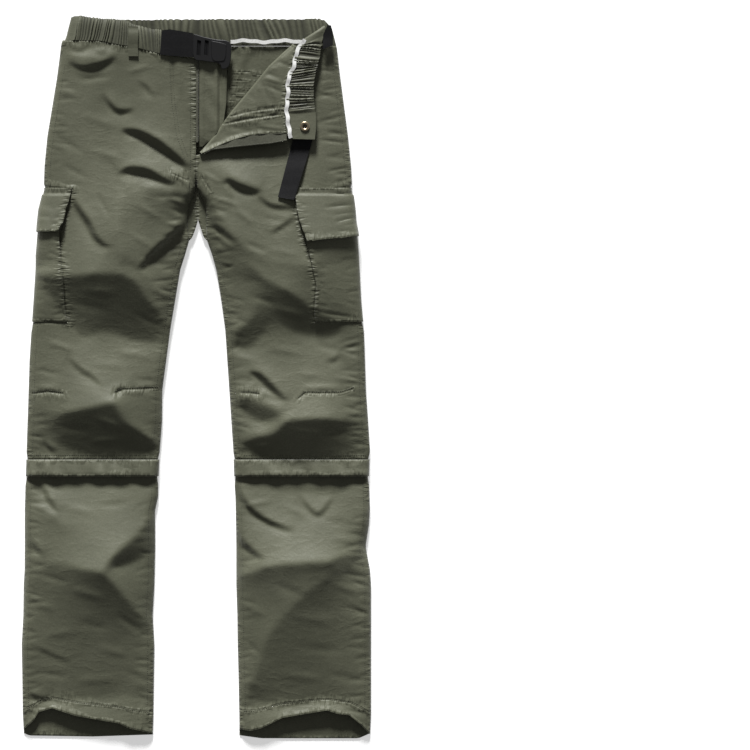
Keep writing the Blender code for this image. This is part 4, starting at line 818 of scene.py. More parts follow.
def line_gap(x: np.ndarray, y: np.ndarray, lines: Sequence[Sequence]) -> np.ndarray:
    """Distance of some points from the nearest of some lines.

    Args:
        x: positions across.
        y: positions up.
        lines: points (x, y) of each line.

    Returns:
        The distances, in millimetres.
    """
    gap = np.full(np.shape(x), 1e3)
    for line in lines:
        for a, b in zip(np.asarray(line, float)[:-1], np.asarray(line, float)[1:]):
            run = b - a
            s = np.clip(((x - a[0]) * run[0] + (y - a[1]) * run[1]) / max(run @ run, 1e-9), 0, 1)
            gap = np.minimum(gap, np.hypot(x - a[0] - s * run[0], y - a[1] - s * run[1]))
    return gap


def mesh_object(name: str, verts: np.ndarray, faces: Sequence, sharp: float = 1.0,
                marks: Optional[dict[str, np.ndarray]] = None) -> bpy.types.Object:
    """Smooth-shaded object with outward faces and no loose points.

    Args:
        name: the object's name.
        verts: points in metres.
        faces: corner indices of each face.
        sharp: angle past which an edge stays crisp, in radians.
        marks: one number for each point, by attribute name.

    Returns:
        The linked object, at the origin.
    """
    mesh = bpy.data.meshes.new(name)
    mesh.from_pydata(np.asarray(verts).tolist(), [], [list(map(int, f)) for f in faces])
    for label, values in (marks or {}).items():
        mesh.attributes.new(label, "FLOAT", "POINT").data.foreach_set("value", values.astype(np.float32))
    bm = bmesh.new()
    bm.from_mesh(mesh)
    bmesh.ops.delete(bm, geom=[v for v in bm.verts if not v.link_faces], context="VERTS")
    bmesh.ops.recalc_face_normals(bm, faces=bm.faces)
    bm.to_mesh(mesh)
    bm.free()
    mesh.polygons.foreach_set("use_smooth", [True] * len(mesh.polygons))
    mesh.set_sharp_from_angle(angle=sharp)
    body = bpy.data.objects.new(name, mesh)
    bpy.context.scene.collection.objects.link(body)
    return body


def ribbon(name: str, left: np.ndarray, right: np.ndarray, low: np.ndarray, high: np.ndarray,
           across: int = 4) -> Cloth:
    """Strip of cloth between two lines.

    Args:
        name: the finished piece's name.
        left: (x, y) of one long edge.
        right: (x, y) of the other.
        low: height of the underside at each station.
        high: height of the top at each station.
        across: cells across the strip.

    Returns:
        The strip.
    """
    shares = np.linspace(0, 1, across + 1)[None, :, None]
    plan = left[:, None, :] + (right - left)[:, None, :] * shares
    flat = np.ones((1, across + 1))
    outer = np.dstack([plan, np.asarray(high)[:, None] * flat])
    inner = np.dstack([plan, np.asarray(low)[:, None] * flat])
    return Cloth(name, outer, inner)


def smooth_strip(points: Sequence, step: float) -> np.ndarray:
    """Even stations along a table of numbers, its first two columns being x and y."""
    p = np.asarray(points, float)
    run = np.r_[0, np.cumsum(np.hypot(*np.diff(p[:, :2], axis=0).T))]
    s = np.linspace(0, run[-1], max(2, int(run[-1] / step)) + 1)
    return np.stack([np.interp(s, run, p[:, k]) for k in range(p.shape[1])], axis=1)



class Kind(Enum):
    """Which built-in pattern a finish has."""

    CLOTH = "cloth"
    WEBBING = "webbing"
    TAPE = "tape"
    PLASTIC = "plastic"
    METAL = "metal"
    FLOOR = "floor"


@dataclass(frozen=True)
class Finish:
    """One finish of the garment.

    Args:
        name: material name.
        slot: its material slot name, or an empty string; not used.
        kind: which pattern it has.
        colour: main colour, linear.
        dark: darker colour of its random patches; 0.35 of it is the painted shade in the hollows between
            gathers.
        light: colour of its rubbed high places.
        rough: roughness.
        crinkle: height of the small creases, in metres.
        weave: height of the threads, in metres.
        pitch: thread spacing, in metres.
        sheen: sheen weight.
        pucker: height of the creases beside seams, in metres.
    """

    name: str
    slot: str
    kind: Kind
    colour: tuple[float, float, float]
    dark: tuple[float, float, float]
    light: tuple[float, float, float]
    rough: float = 0.6
    crinkle: float = 0.0
    weave: float = 0.0
    pitch: float = 0.0006
    sheen: float = 0.0
    pucker: float = 0.0


NYLON = Finish("crinkled_nylon", "nylon_cloth", Kind.CLOTH, (0.093, 0.096, 0.063), (0.073, 0.076, 0.049),
               (0.118, 0.121, 0.083), 0.56, 0.0008, 0.00003, 0.0006, 0.10, 0.0010)
DOUBLED = Finish("doubled_nylon", "band_cloth", Kind.CLOTH, (0.091, 0.094, 0.062), (0.071, 0.074, 0.048),
                 (0.116, 0.119, 0.082), 0.58, 0.0005, 0.00003, 0.0006, 0.10, 0.0009)
ZIP = Finish("zip_tape", "zip_tape", Kind.TAPE, (0.080, 0.082, 0.058), (0.05, 0.051, 0.036),
             (0.12, 0.122, 0.09), 0.68, 0.0001, 0.00008, 0.0009, 0.1)
BINDING = Finish("white_tape", "binding_tape", Kind.TAPE, (0.70, 0.70, 0.68), (0.5, 0.5, 0.48),
                 (0.82, 0.82, 0.80), 0.8, 0.0001, 0.0001, 0.0009, 0.2)
WEBBING = Finish("ribbed_webbing", "black_webbing", Kind.WEBBING, (0.0075, 0.0075, 0.008),
                 (0.004, 0.004, 0.0045), (0.013, 0.013, 0.014), 0.6, 0.00005, 0.00018, 0.0016, 0.02)
PLASTIC = Finish("moulded_plastic", "black_plastic", Kind.PLASTIC, (0.0065, 0.0065, 0.007),
                 (0.004, 0.004, 0.0045), (0.012, 0.012, 0.013), 0.42, 0.00003)
BRASS = Finish("aged_brass", "antique_brass", Kind.METAL, (0.34, 0.27, 0.17), (0.10, 0.075, 0.05),
               (0.60, 0.50, 0.36), 0.36, 0.00002)
CORE = Finish("blackened_brass", "snap_core", Kind.METAL, (0.020, 0.018, 0.015), (0.008, 0.007, 0.006),
              (0.05, 0.043, 0.034), 0.6, 0.00002)
THREAD = Finish("sewing_thread", "band_cloth", Kind.TAPE, (0.065, 0.067, 0.045), (0.04, 0.041, 0.028),
                (0.09, 0.092, 0.064), 0.6, 0.0, 0.00003, 0.0004, 0.1)
COIL = Finish("coil_teeth", "zip_tape", Kind.PLASTIC, (0.066, 0.067, 0.050), (0.04, 0.04, 0.03),
              (0.11, 0.111, 0.088), 0.4, 0.0)
FLOOR = Finish("pale_floor", "", Kind.FLOOR, (0.86, 0.86, 0.86), (0.84, 0.84, 0.84), (0.88, 0.88, 0.88), 0.9)


class Graph:
    """Short calls for wiring a node tree."""

    def __init__(self, tree: bpy.types.NodeTree) -> None:
        """Keeps the tree."""
        self.tree = tree

    def node(self, kind: str, **values) -> bpy.types.Node:
        """New node; values set its attributes, or its inputs by number or name."""
        made = self.tree.nodes.new(kind)
        for key, value in values.items():
            if hasattr(made, key) and not key.startswith("in_"):
                setattr(made, key, value)
            else:
                name = key[3:]
                socket = made.inputs[int(name) if name.isdigit() else name.replace("_", " ")]
                if isinstance(value, bpy.types.NodeSocket):
                    self.tree.links.new(value, socket)
                else:
                    socket.default_value = value
        return made

    def math(self, operation: str, a, b=0.0) -> bpy.types.NodeSocket:
        """Result of a Math node."""
        return self.node("ShaderNodeMath", operation=operation, in_0=a, in_1=b).outputs[0]

    def link(self, a: bpy.types.NodeSocket, b: bpy.types.NodeSocket) -> None:
        """Joins two sockets."""
        self.tree.links.new(a, b)


class Groups:
    """Shader node groups that several finishes share."""

    def __init__(self) -> None:
        """Builds each group once."""
        self.crinkle = self.make_crinkle()
        self.pucker = self.make_pucker()
        self.weave = self.make_weave()
        self.tint = self.make_tint()

    @staticmethod
    def start(name: str, inputs: Sequence,
              outputs: Sequence) -> tuple[Graph, bpy.types.Node, bpy.types.Node]:
        """New group with its sockets.

        Args:
            name: the group's name.
            inputs: (name, socket type, value) of each input.
            outputs: (name, socket type) of each output.

        Returns:
            The graph, the input node and the output node.
        """
        tree = bpy.data.node_groups.new(name, "ShaderNodeTree")
        for label, kind, value in inputs:
            socket = tree.interface.new_socket(name=label, in_out="INPUT", socket_type=kind)
            if value is not None:
                socket.default_value = value
        for label, kind in outputs:
            tree.interface.new_socket(name=label, in_out="OUTPUT", socket_type=kind)
        graph = Graph(tree)
        return graph, graph.node("NodeGroupInput"), graph.node("NodeGroupOutput")

    def make_crinkle(self) -> bpy.types.NodeTree:
        """Height of the small sharp creases of thin washed cloth, from 0 to about 1."""
        g, inp, out = self.start("small_creases", (("Vector", "NodeSocketVector", None),
                                                  ("Scale", "NodeSocketFloat", 1.0)),
                                 (("Height", "NodeSocketFloat"),))
        size = g.node("ShaderNodeVectorMath", operation="SCALE", in_0=inp.outputs[0],
                      in_Scale=inp.outputs[1])
        bend = g.node("ShaderNodeTexNoise", in_Vector=size.outputs[0], in_Scale=26.0, in_Detail=2.0)
        push = g.node("ShaderNodeVectorMath", operation="MULTIPLY_ADD", in_0=bend.outputs["Color"],
                      in_1=(0.012, 0.012, 0.012), in_2=size.outputs[0])
        wide = g.node("ShaderNodeMapping", in_Vector=push.outputs[0], in_Rotation=(0, 0, 0.5),
                      in_Scale=(0.62, 1.25, 1.0))
        ridge = g.node("ShaderNodeTexNoise", noise_type="RIDGED_MULTIFRACTAL", in_Vector=wide.outputs[0],
                       in_Scale=62.0, in_Detail=3.0, in_Roughness=0.55, in_Offset=0.9, in_Gain=1.4)
        cross = g.node("ShaderNodeMapping", in_Vector=push.outputs[0], in_Rotation=(0, 0, -0.75),
                       in_Scale=(0.7, 1.5, 1.0))
        fine = g.node("ShaderNodeTexNoise", noise_type="RIDGED_MULTIFRACTAL", in_Vector=cross.outputs[0],
                      in_Scale=150.0, in_Detail=2.0, in_Roughness=0.5, in_Offset=0.9, in_Gain=1.2)
        soft = g.node("ShaderNodeTexNoise", in_Vector=size.outputs[0], in_Scale=34.0, in_Detail=4.0,
                      in_Roughness=0.6)
        patch = g.node("ShaderNodeTexNoise", in_Vector=size.outputs[0], in_Scale=11.0, in_Detail=1.0)
        share = g.node("ShaderNodeMapRange", in_0=patch.outputs[0], in_1=0.35, in_2=0.65, in_3=0.35,
                       in_4=1.0)
        a = g.math("MULTIPLY", ridge.outputs[0], 0.20)
        b = g.math("MULTIPLY", fine.outputs[0], 0.06)
        c = g.math("MULTIPLY", soft.outputs[0], 0.75)
        total = g.math("ADD", g.math("MULTIPLY", g.math("ADD", a, b), share.outputs[0]), c)
        g.link(total, out.inputs[0])
        return g.tree

    def make_pucker(self) -> bpy.types.NodeTree:
        """Height of the short creases that a row of stitches draws into the cloth beside it."""
        g, inp, out = self.start("seam_puckers", (("Vector", "NodeSocketVector", None),
                                                 ("Upright", "NodeSocketFloat", 0.0),
                                                 ("Level", "NodeSocketFloat", 0.0)),
                                 (("Height", "NodeSocketFloat"),))
        parts = []
        for gap, stretch in ((inp.outputs[1], (55.0, 230.0, 40.0)), (inp.outputs[2], (230.0, 55.0, 40.0))):
            place = g.node("ShaderNodeMapping", in_Vector=inp.outputs[0], in_Scale=stretch)
            noise = g.node("ShaderNodeTexNoise", in_Vector=place.outputs[0], in_Scale=1.0, in_Detail=1.5,
                           in_Roughness=0.5)
            fold = g.node("ShaderNodeMapRange", in_0=noise.outputs[0], in_1=0.36, in_2=0.6, in_3=0.0,
                          in_4=1.0, interpolation_type="SMOOTHSTEP")
            patch = g.node("ShaderNodeTexNoise", in_Vector=inp.outputs[0], in_Scale=24.0, in_Detail=1.0)
            reach = g.node("ShaderNodeMapRange", in_0=patch.outputs[0], in_1=0.38, in_2=0.62, in_3=0.75,
                           in_4=0.05)
            near = g.node("ShaderNodeMapRange", in_0=gap, in_1=reach.outputs[0], in_2=1.0, in_3=0.0,
                          in_4=1.0, interpolation_type="SMOOTHSTEP")
            groove = g.node("ShaderNodeMapRange", in_0=gap, in_1=0.86, in_2=1.0, in_3=0.0, in_4=0.55,
                            interpolation_type="SMOOTHSTEP")
            parts.append(g.math("SUBTRACT", g.math("MULTIPLY", fold.outputs[0], near.outputs[0]),
                                groove.outputs[0]))
        g.link(g.math("ADD", *parts), out.inputs[0])
        return g.tree

    def make_weave(self) -> bpy.types.NodeTree:
        """Height of crossing threads, from 0 to 1."""
        g, inp, out = self.start("crossing_threads", (("Vector", "NodeSocketVector", None),
                                                     ("Pitch", "NodeSocketFloat", 0.0006),
                                                     ("Across", "NodeSocketFloat", 1.0)),
                                 (("Height", "NodeSocketFloat"),))
        turn = g.math("DIVIDE", 2 * math.pi, inp.outputs[1])
        parts = g.node("ShaderNodeSeparateXYZ", in_0=inp.outputs[0])
        wave_x = g.math("SINE", g.math("MULTIPLY", parts.outputs[0], turn))
        wave_y = g.math("SINE", g.math("MULTIPLY", parts.outputs[1], turn))
        lift_x = g.math("MULTIPLY", wave_x, inp.outputs[2])
        both = g.math("MAXIMUM", lift_x, wave_y)
        g.link(g.math("MULTIPLY_ADD", both, 0.5), out.inputs[0])
        out.inputs[0].links[0].from_node.inputs[2].default_value = 0.5
        return g.tree

    def make_tint(self) -> bpy.types.NodeTree:
        """Colour that wanders between a dark and a light one in soft patches and fine specks."""
        g, inp, out = self.start("wandering_tint", (("Vector", "NodeSocketVector", None),
                                                   ("Dark", "NodeSocketColor", (0, 0, 0, 1)),
                                                   ("Main", "NodeSocketColor", (0.5, 0.5, 0.5, 1)),
                                                   ("Light", "NodeSocketColor", (1, 1, 1, 1))),
                                 (("Color", "NodeSocketColor"), ("Mask", "NodeSocketFloat")))
        big = g.node("ShaderNodeTexNoise", in_Vector=inp.outputs[0], in_Scale=9.0, in_Detail=4.0,
                     in_Roughness=0.6)
        small = g.node("ShaderNodeTexNoise", in_Vector=inp.outputs[0], in_Scale=420.0, in_Detail=2.0,
                       in_Roughness=0.7)
        mixed = g.math("ADD", g.math("MULTIPLY", big.outputs[0], 0.62),
                       g.math("MULTIPLY", small.outputs[0], 0.38))
        low = g.node("ShaderNodeMapRange", in_0=mixed, in_1=0.34, in_2=0.50, in_3=0.0, in_4=1.0)
        high = g.node("ShaderNodeMapRange", in_0=mixed, in_1=0.50, in_2=0.66, in_3=0.0, in_4=1.0)
        first = g.node("ShaderNodeMix", data_type="RGBA", in_0=low.outputs[0])
        g.link(inp.outputs[1], first.inputs[6])
        g.link(inp.outputs[2], first.inputs[7])
        second = g.node("ShaderNodeMix", data_type="RGBA", in_0=high.outputs[0])
        g.link(first.outputs[2], second.inputs[6])
        g.link(inp.outputs[3], second.inputs[7])
        g.link(second.outputs[2], out.inputs[0])
        g.link(mixed, out.inputs[1])
        return g.tree


class Dresser:
    """Makes each finish's material once and dresses pieces with it."""

    def __init__(self) -> None:
        """Builds the shared groups."""
        self.groups = Groups()
        self.made: dict[str, bpy.types.Material] = {}

    def material(self, finish: Finish) -> bpy.types.Material:
        """Material of a finish.

        Args:
            finish: what it looks like.

        Returns:
            The material, made on first use.
        """
        if finish.name in self.made:
            return self.made[finish.name]
        material = bpy.data.materials.new(finish.name)
        material.use_nodes = True
        material.diffuse_color = (*finish.colour, 1.0)
        g = Graph(material.node_tree)
        shader = material.node_tree.nodes["Principled BSDF"]
        place = g.node("ShaderNodeTexCoord").outputs["Object"]
        tint = g.node("ShaderNodeGroup", node_tree=self.groups.tint)
        g.link(place, tint.inputs["Vector"])
        for label, colour in (("Dark", finish.dark), ("Main", finish.colour), ("Light", finish.light)):
            tint.inputs[label].default_value = (*colour, 1.0)
        # Painted shade: where the hollow attribute is high, the colour goes towards 0.35 of the dark colour,
        # standing in for shade between gathers.
        deep = g.node("ShaderNodeAttribute", attribute_type="GEOMETRY",
                      attribute_name="hollow").outputs["Fac"]
        shade = g.node("ShaderNodeMix", data_type="RGBA", in_0=deep)
        g.link(tint.outputs["Color"], shade.inputs[6])
        shade.inputs[7].default_value = (*(0.35 * v for v in finish.dark), 1.0)
        g.link(shade.outputs[2], shader.inputs["Base Color"])
        rough = g.node("ShaderNodeMapRange", in_0=tint.outputs["Mask"], in_1=0.3, in_2=0.7,
                       in_3=finish.rough + 0.06, in_4=finish.rough - 0.06)
        g.link(rough.outputs[0], shader.inputs["Roughness"])
        shader.inputs["Metallic"].default_value = 1.0 if finish.kind is Kind.METAL else 0.0
        if finish.kind in (Kind.CLOTH, Kind.TAPE, Kind.WEBBING):
            shader.inputs["Sheen Weight"].default_value = finish.sheen
            shader.inputs["Sheen Roughness"].default_value = 0.45
            shader.inputs["Specular IOR Level"].default_value = 0.35 if finish.sheen > 0.08 else 0.12
        height = self.height(g, place, finish)
        if height is not None:
            bump = g.node("ShaderNodeBump", in_Strength=1.0, in_Distance=1.0, in_Height=height)
            g.link(bump.outputs[0], shader.inputs["Normal"])
        self.made[finish.name] = material
        return material

    def height(self, g: Graph, place: bpy.types.NodeSocket,
               finish: Finish) -> Optional[bpy.types.NodeSocket]:
        """Sum of a finish's small forms, in metres."""
        parts = []
        if finish.crinkle:
            creases = g.node("ShaderNodeGroup", node_tree=self.groups.crinkle)
            g.link(place, creases.inputs["Vector"])
            creases.inputs["Scale"].default_value = 1.0 if finish.kind is Kind.CLOTH else 3.0
            parts.append(g.math("MULTIPLY", creases.outputs[0], finish.crinkle))
        if finish.pucker:
            gaps = [g.node("ShaderNodeAttribute", attribute_type="GEOMETRY",
                           attribute_name=label).outputs["Fac"]
                    for label in ("upright_seam", "level_seam")]
            drawn = g.node("ShaderNodeGroup", node_tree=self.groups.pucker)
            g.link(place, drawn.inputs["Vector"])
            for label, gap in zip(("Upright", "Level"), gaps):
                g.link(gap, drawn.inputs[label])
            parts.append(g.math("MULTIPLY", drawn.outputs[0], finish.pucker))
        if finish.weave:
            threads = g.node("ShaderNodeGroup", node_tree=self.groups.weave)
            g.link(place, threads.inputs["Vector"])
            threads.inputs["Pitch"].default_value = finish.pitch
            threads.inputs["Across"].default_value = 0.25 if finish.kind is Kind.WEBBING else 1.0
            parts.append(g.math("MULTIPLY", threads.outputs[0], finish.weave))
        total = parts[0] if parts else None
        for part in parts[1:]:
            total = g.math("ADD", total, part)
        return total

    def dress(self, piece: bpy.types.Object, finish: Finish, nodes: Sequence[str] = ()) -> bpy.types.Object:
        """Gives a piece its material and its body, and hides the solids that it stands for.

        Args:
            piece: the finished object.
            finish: what it looks like.
            nodes: names of the solids it replaces.

        Returns:
            The piece.
        """
        piece.data.materials.clear()
        piece.data.materials.append(self.material(finish))
        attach(piece, "root")
        if nodes:
            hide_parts(*nodes)
        LOG.info("%s: %d faces, %s", piece.name, len(piece.data.polygons), finish.name)
        return piece

    def sew(self, cloth: Cloth, finish: Finish, nodes: Sequence[str], held: str,
            rests_on: Sequence[str], parts: Sequence = ()) -> bpy.types.Object:
        """Builds and dresses a piece of cloth.

        Args:
            cloth: its two faces.
            finish: what it looks like.
            nodes: names of the solids it replaces.
            held: how it is held; not used.
            rests_on: what it lies on; not used.
            parts: separate pieces that belong to it; not used.

        Returns:
            The piece.
        """
        piece = self.dress(cloth.build(), finish, nodes)
        return piece



UPPER_STATIONS = (482, 325, 276, 267, 258, 212, 197, 82, -118)
LOWER_STATIONS = (-128, -426, -494)


@dataclass
class ShortsPart:
    """Both fronts and both backs above the knee zips.

    Args:
        tailor: dresses the pieces.
        right: the wearer's right half.
        left: the wearer's left half, whose top corner is turned back.
    """

    tailor: Dresser
    right: Leg
    left: Leg
    near: int = 20
    far: int = 84
    step: float = 2.1
    rows: np.ndarray = field(init=False)
    faces: dict[int, tuple[np.ndarray, np.ndarray]] = field(init=False, default_factory=dict)
    corner: tuple[np.ndarray, np.ndarray] = field(init=False, default=())

    def __post_init__(self) -> None:
        """Works out the heights of the rows."""
        self.rows = fine_rows(UPPER_STATIONS, self.step)

    def row_index(self, y: float) -> int:
        """Row at one of the stations."""
        return int(np.abs(self.rows - y).argmin())

    def front(self, leg: Leg, fold: Optional[Callable[[float], float]] = None) -> tuple[np.ndarray, ...]:
        """Outer points, inner points and normals of one front."""
        grid = leg.front_grid(self.rows, self.near, self.far, fold)
        n = normals(grid)
        n[:, 0] = (leg.sign, 0, 0)
        soft = np.interp(self.rows, (262, 300), (1, 0))[:, None]
        n[:, -1] = n[:, -1] * (1 - soft) + np.array((-leg.sign, 0, 0)) * soft
        n /= np.linalg.norm(n, axis=2)[:, :, None]
        inner = grid - WALL * n
        inner[:, :, 2] = np.maximum(inner[:, :, 2], rim_z(grid[:, :, 1]))
        inner[:, 0, 2] = grid[:, 0, 2]
        inner[:, :, 1] = grid[:, :, 1]
        self.faces[leg.sign] = (grid, n)
        return grid, inner, n

    def build_right(self) -> None:
        """The right front, with its fly edge at the middle."""
        grid, inner, _ = self.front(self.right)
        cloth = Cloth("shorts_front_right", grid, inner, sewn=True, upright=[self.right.pocket_seam()],
                      level=[*self.right.level_seams(), *FRONT_SEAMS["right"]])
        self.tailor.sew(cloth, NYLON, ["front_shorts_right"], "laid", ["back_shorts_right"])

    def build_left(self) -> None:
        """The left front and, in one piece with it, its corner turned back about the fold."""
        grid, inner, _ = self.front(self.left, lambda row: float(column(CORNER, 1, row)))
        rows, cols = grid.shape[:2]
        turns, across = 8, 34
        wide = cols + turns + across
        outer_all, inner_all = np.zeros((rows, wide, 3)), np.zeros((rows, wide, 3))
        outer_all[:, :cols], inner_all[:, :cols] = grid, inner
        keep = np.zeros((rows - 1, wide - 1), bool)
        keep[:, :cols - 1] = True
        last = self.row_index(CORNER_Y)
        keep[:last, cols - 1:] = True
        out, up = np.array((-0.72, 0.69, 0.0)), np.array((0.0, 0.0, 1.0))
        radius = TURN_GAP / 2
        for j in range(last + 1):
            row, foot = self.rows[j], grid[j, -1]
            inner_all[j, cols - 1] = foot - WALL * up
            for k in range(1, turns + 1):
                turn = math.pi * k / turns
                push = out * math.sin(turn) - up * math.cos(turn)
                outer_all[j, cols - 1 + k] = foot + radius * up + radius * push
                inner_all[j, cols - 1 + k] = foot + radius * up + (radius + WALL) * push
            start = foot + TURN_GAP * up
            edge_x, edge_y, sag = (float(column(CORNER, k, row)) for k in (2, 3, 4))
            s = np.arange(1, across + 1) / across
            x = start[0] + (edge_x - start[0]) * s
            y = start[1] + (edge_y - start[1]) * s + sag * np.sin(math.pi * s)
            z = start[2] + (self.corner_level(edge_y) - start[2]) * s + 1.2 * np.sin(math.pi * s)
            z = np.maximum(z, self.left.relief.level(x, y) + 2 * SEAM + 0.5)
            z = z + self.wrinkles(x, y) * np.minimum(1, 6 * s) * np.minimum(1, 8 * (1.02 - s))
            at = slice(cols + turns, wide)
            outer_all[j, at] = np.stack([x, y, z], 1)
            inner_all[j, at] = np.stack([x, y, z + WALL], 1)
        self.corner = (outer_all[:last + 1, cols - 1 + turns:], inner_all[:last + 1, cols - 1 + turns:])
        cloth = Cloth("shorts_front_left", outer_all, inner_all, keep, sewn=True,
                      upright=[self.left.pocket_seam()],
                      level=[*self.left.level_seams(), *FRONT_SEAMS["left"]])
        self.tailor.sew(cloth, NYLON, ["front_shorts_left"], "folded", ["back_shorts_left"])

    @staticmethod
    def corner_level(y) -> float:
        """Underside of the turned-back corner along its outer edge."""
        return float(np.interp(y, (345, 400, 470, 500), (21.0, 20.5, 19.5, 18.5)))

    @staticmethod
    def wrinkles(x: np.ndarray, y: np.ndarray) -> np.ndarray:
        """Creases of the turned-back corner, whose wrong side shows."""
        z = np.zeros_like(x)
        for x0, y0, x1, y1, height, width in TURNED_STROKES:
            run = np.array((x1 - x0, y1 - y0), float)
            s = np.clip(((x - x0) * run[0] + (y - y0) * run[1]) / (run @ run), 0, 1)
            off = np.hypot(x - x0 - s * run[0], y - y0 - s * run[1])
            z = z + height * np.sin(math.pi * (0.08 + 0.84 * s)) ** 0.7 * np.exp(-(off / width) ** 2)
        return z

    def build_backs(self) -> None:
        """Both flat backs."""
        for leg, tag in ((self.right, "right"), (self.left, "left")):
            cloth = back_cloth(leg, "shorts_back_" + tag, self.rows[::2])
            cloth.level = BACK_SEAMS if leg.sign > 0 else ()
            self.tailor.sew(cloth, NYLON, ["back_shorts_" + tag], "laid", ["back_pocket_" + tag])


def back_cloth(leg: Leg, name: str, rows: np.ndarray) -> Cloth:
    """Flat back panel under one leg, cut to the same outline as its front."""
    outer, inner = [], []
    rows = np.unique(np.r_[rows, -118 if rows[0] > 0 else HEM_Y])[::-1]
    shares = np.linspace(0, 1, 40)
    for row in rows:
        x = float(leg.side(row)) + (float(leg.back_inner(row)) - float(leg.side(row))) * shares
        y = leg.tilt(row, x) if 150 < row < 243 else np.full_like(x, min(row, WAIST_Y - SEAM))
        if row < -426:
            y = row + (along(BACK_HEM, x) - HEM_Y) * (-426 - row) / (-426 - HEM_Y)
        low = base_z(y)
        crease = line_gap(x, y, INSIDE_CREASES)
        ease = 3.0 * np.exp(-((crease - 5) / 5.0) ** 2) - 1.0 * np.exp(-(crease / 2.5) ** 2)
        slack = np.clip((low - 1.7) / 1.9, 0, 1) * np.minimum(1, 4 * np.minimum(shares, 1 - shares))
        wave = 0.35 * (1 + np.sin(x / 13.0 + y / 37.0) * np.sin(y / 17.0 - x / 41.0)) * slack
        inner.append(np.stack([x, y, low + wave], 1))
        outer.append(np.stack([x, y, low + wave + np.maximum(ease, 0) + WALL], 1))
    return Cloth(name, np.array(outer), np.array(inner), sewn=True)


@dataclass
class LowerLegs:
    """Both lower legs with their hems."""

    tailor: Dresser
    right: Leg
    left: Leg
    near: int = 18
    far: int = 68

    def build(self) -> None:
        """Fronts and backs of both lower legs."""
        rows = fine_rows(LOWER_STATIONS, 2.2)
        for leg, tag in ((self.right, "right"), (self.left, "left")):
            grid = leg.front_grid(rows, self.near, self.far)
            n = normals(grid)
            n[:, 0], n[:, -1] = (leg.sign, 0, 0), (-leg.sign, 0, 0)
            inner = grid - WALL * n
            inner[:, :, 2] = np.maximum(inner[:, :, 2], rim_z(grid[:, :, 1]))
            inner[:, 0, 2], inner[:, -1, 2] = grid[:, 0, 2], grid[:, -1, 2]
            inner[:, :, 1] = grid[:, :, 1]
            x = np.linspace(float(leg.side(-473)), float(leg.inner(-473)), 14)
            cloth = Cloth("leg_front_" + tag, grid, inner, sewn=True,
                          level=[np.stack([x, leg.tilt(-473.0, x)], 1)])
            self.tailor.sew(cloth, NYLON, ["lower_leg_front_" + tag], "laid", ["lower_leg_back_" + tag])
            self.tailor.sew(back_cloth(leg, "leg_back_" + tag, rows[::2]), NYLON,
                            ["lower_leg_back_" + tag], "laid", ["pale_floor"])


@dataclass
class KneeJoins:
    """The zips that take the lower legs off and the bands that cover them."""

    tailor: Dresser
    right: Leg
    left: Leg
    zip_rows: tuple[float, float] = (-118.3, -127.7)
    band_rows: tuple[float, float] = (-118.3, -142.6)

    @staticmethod
    def ring(leg: Leg, rows: np.ndarray, gap: float, swell: Callable, name: str) -> Cloth:
        """Ring round the leg: over the front, round both edges and under the back.

        Args:
            leg: the half it goes round.
            rows: heights of its rows.
            gap: how far it stands off the leg; below 0 it lies in the leg's own wall.
            swell: lift of its front by x and y.
            name: the finished piece's name.

        Returns:
            The closed ring.
        """
        outer, inner = [], []
        for row in rows:
            x = leg.stations(row, 12, 44)
            front = np.stack([x, np.full_like(x, row), leg.surface(x, row, x[0], x[-1], 1.0)], 1)
            run = np.gradient(front, axis=0)
            n = np.stack([-run[:, 2], np.zeros(len(x)), run[:, 0]], 1)
            n /= np.linalg.norm(n, axis=1)[:, None]
            n[n[:, 2] < 0] *= -1
            n[0], n[-1] = (leg.sign, 0, 0), (-leg.sign, 0, 0)
            lift = np.zeros_like(front)
            lift[:, 2] = swell(x, row) * arch(np.abs(x - x[0])) * arch(np.abs(x - x[-1]))
            near, far = (gap, gap + WALL) if gap >= 0 else (-WALL, 0.0)
            for line, d in ((inner, near), (outer, far)):
                ring = front + d * n + lift
                under = float(base_z(row)) - d
                back = np.linspace(ring[-1, 0], ring[0, 0], 24)
                flat = np.stack([back, np.full_like(back, row), np.full_like(back, under)], 1)
                line.append(np.concatenate([ring, flat]))
        return Cloth(name, np.array(outer), np.array(inner), closed=True, sewn=gap > 0)

    @staticmethod
    def band_swell(x: np.ndarray, y: float) -> np.ndarray:
        """How far the band stands off the leg, more at its free lower edge."""
        size = float(np.interp(y, (-143, -140, -137, -128, -121, -118), (3.6, 4.2, 4.3, 3.0, 1.7, 0.5)))
        wave = 1 + 0.20 * np.sin(x / 13.0 + y / 19.0) + 0.16 * np.sin(x / 5.1 + 1.3 + y / 9.0)
        ruffle = 1.1 * np.sin(x / 3.1 + 0.7 * np.sin(x / 17.0)) * np.sin(x / 29.0) ** 2
        return size * wave + ruffle * float(np.interp(y, (-136, -127, -122, -118), (0, 0.5, 1, 0.3)))

    def build(self) -> None:
        """Zips and bands of both legs."""
        for leg, tag in ((self.right, "right"), (self.left, "left")):
            tape = self.ring(leg, np.linspace(*self.zip_rows, 5), -1.0, lambda x, y: 0.0 * x,
                             "zip_ring_" + tag)
            self.tailor.sew(tape, ZIP, ["knee_zip_" + tag], "stretched", ["leg_back_" + tag])
            rows = np.linspace(*self.band_rows, 17)
            band = self.ring(leg, rows, SEAM, self.band_swell, "band_ring_" + tag)
            self.tailor.sew(band, DOUBLED, ["knee_band_" + tag], "stretched", ["leg_back_" + tag])


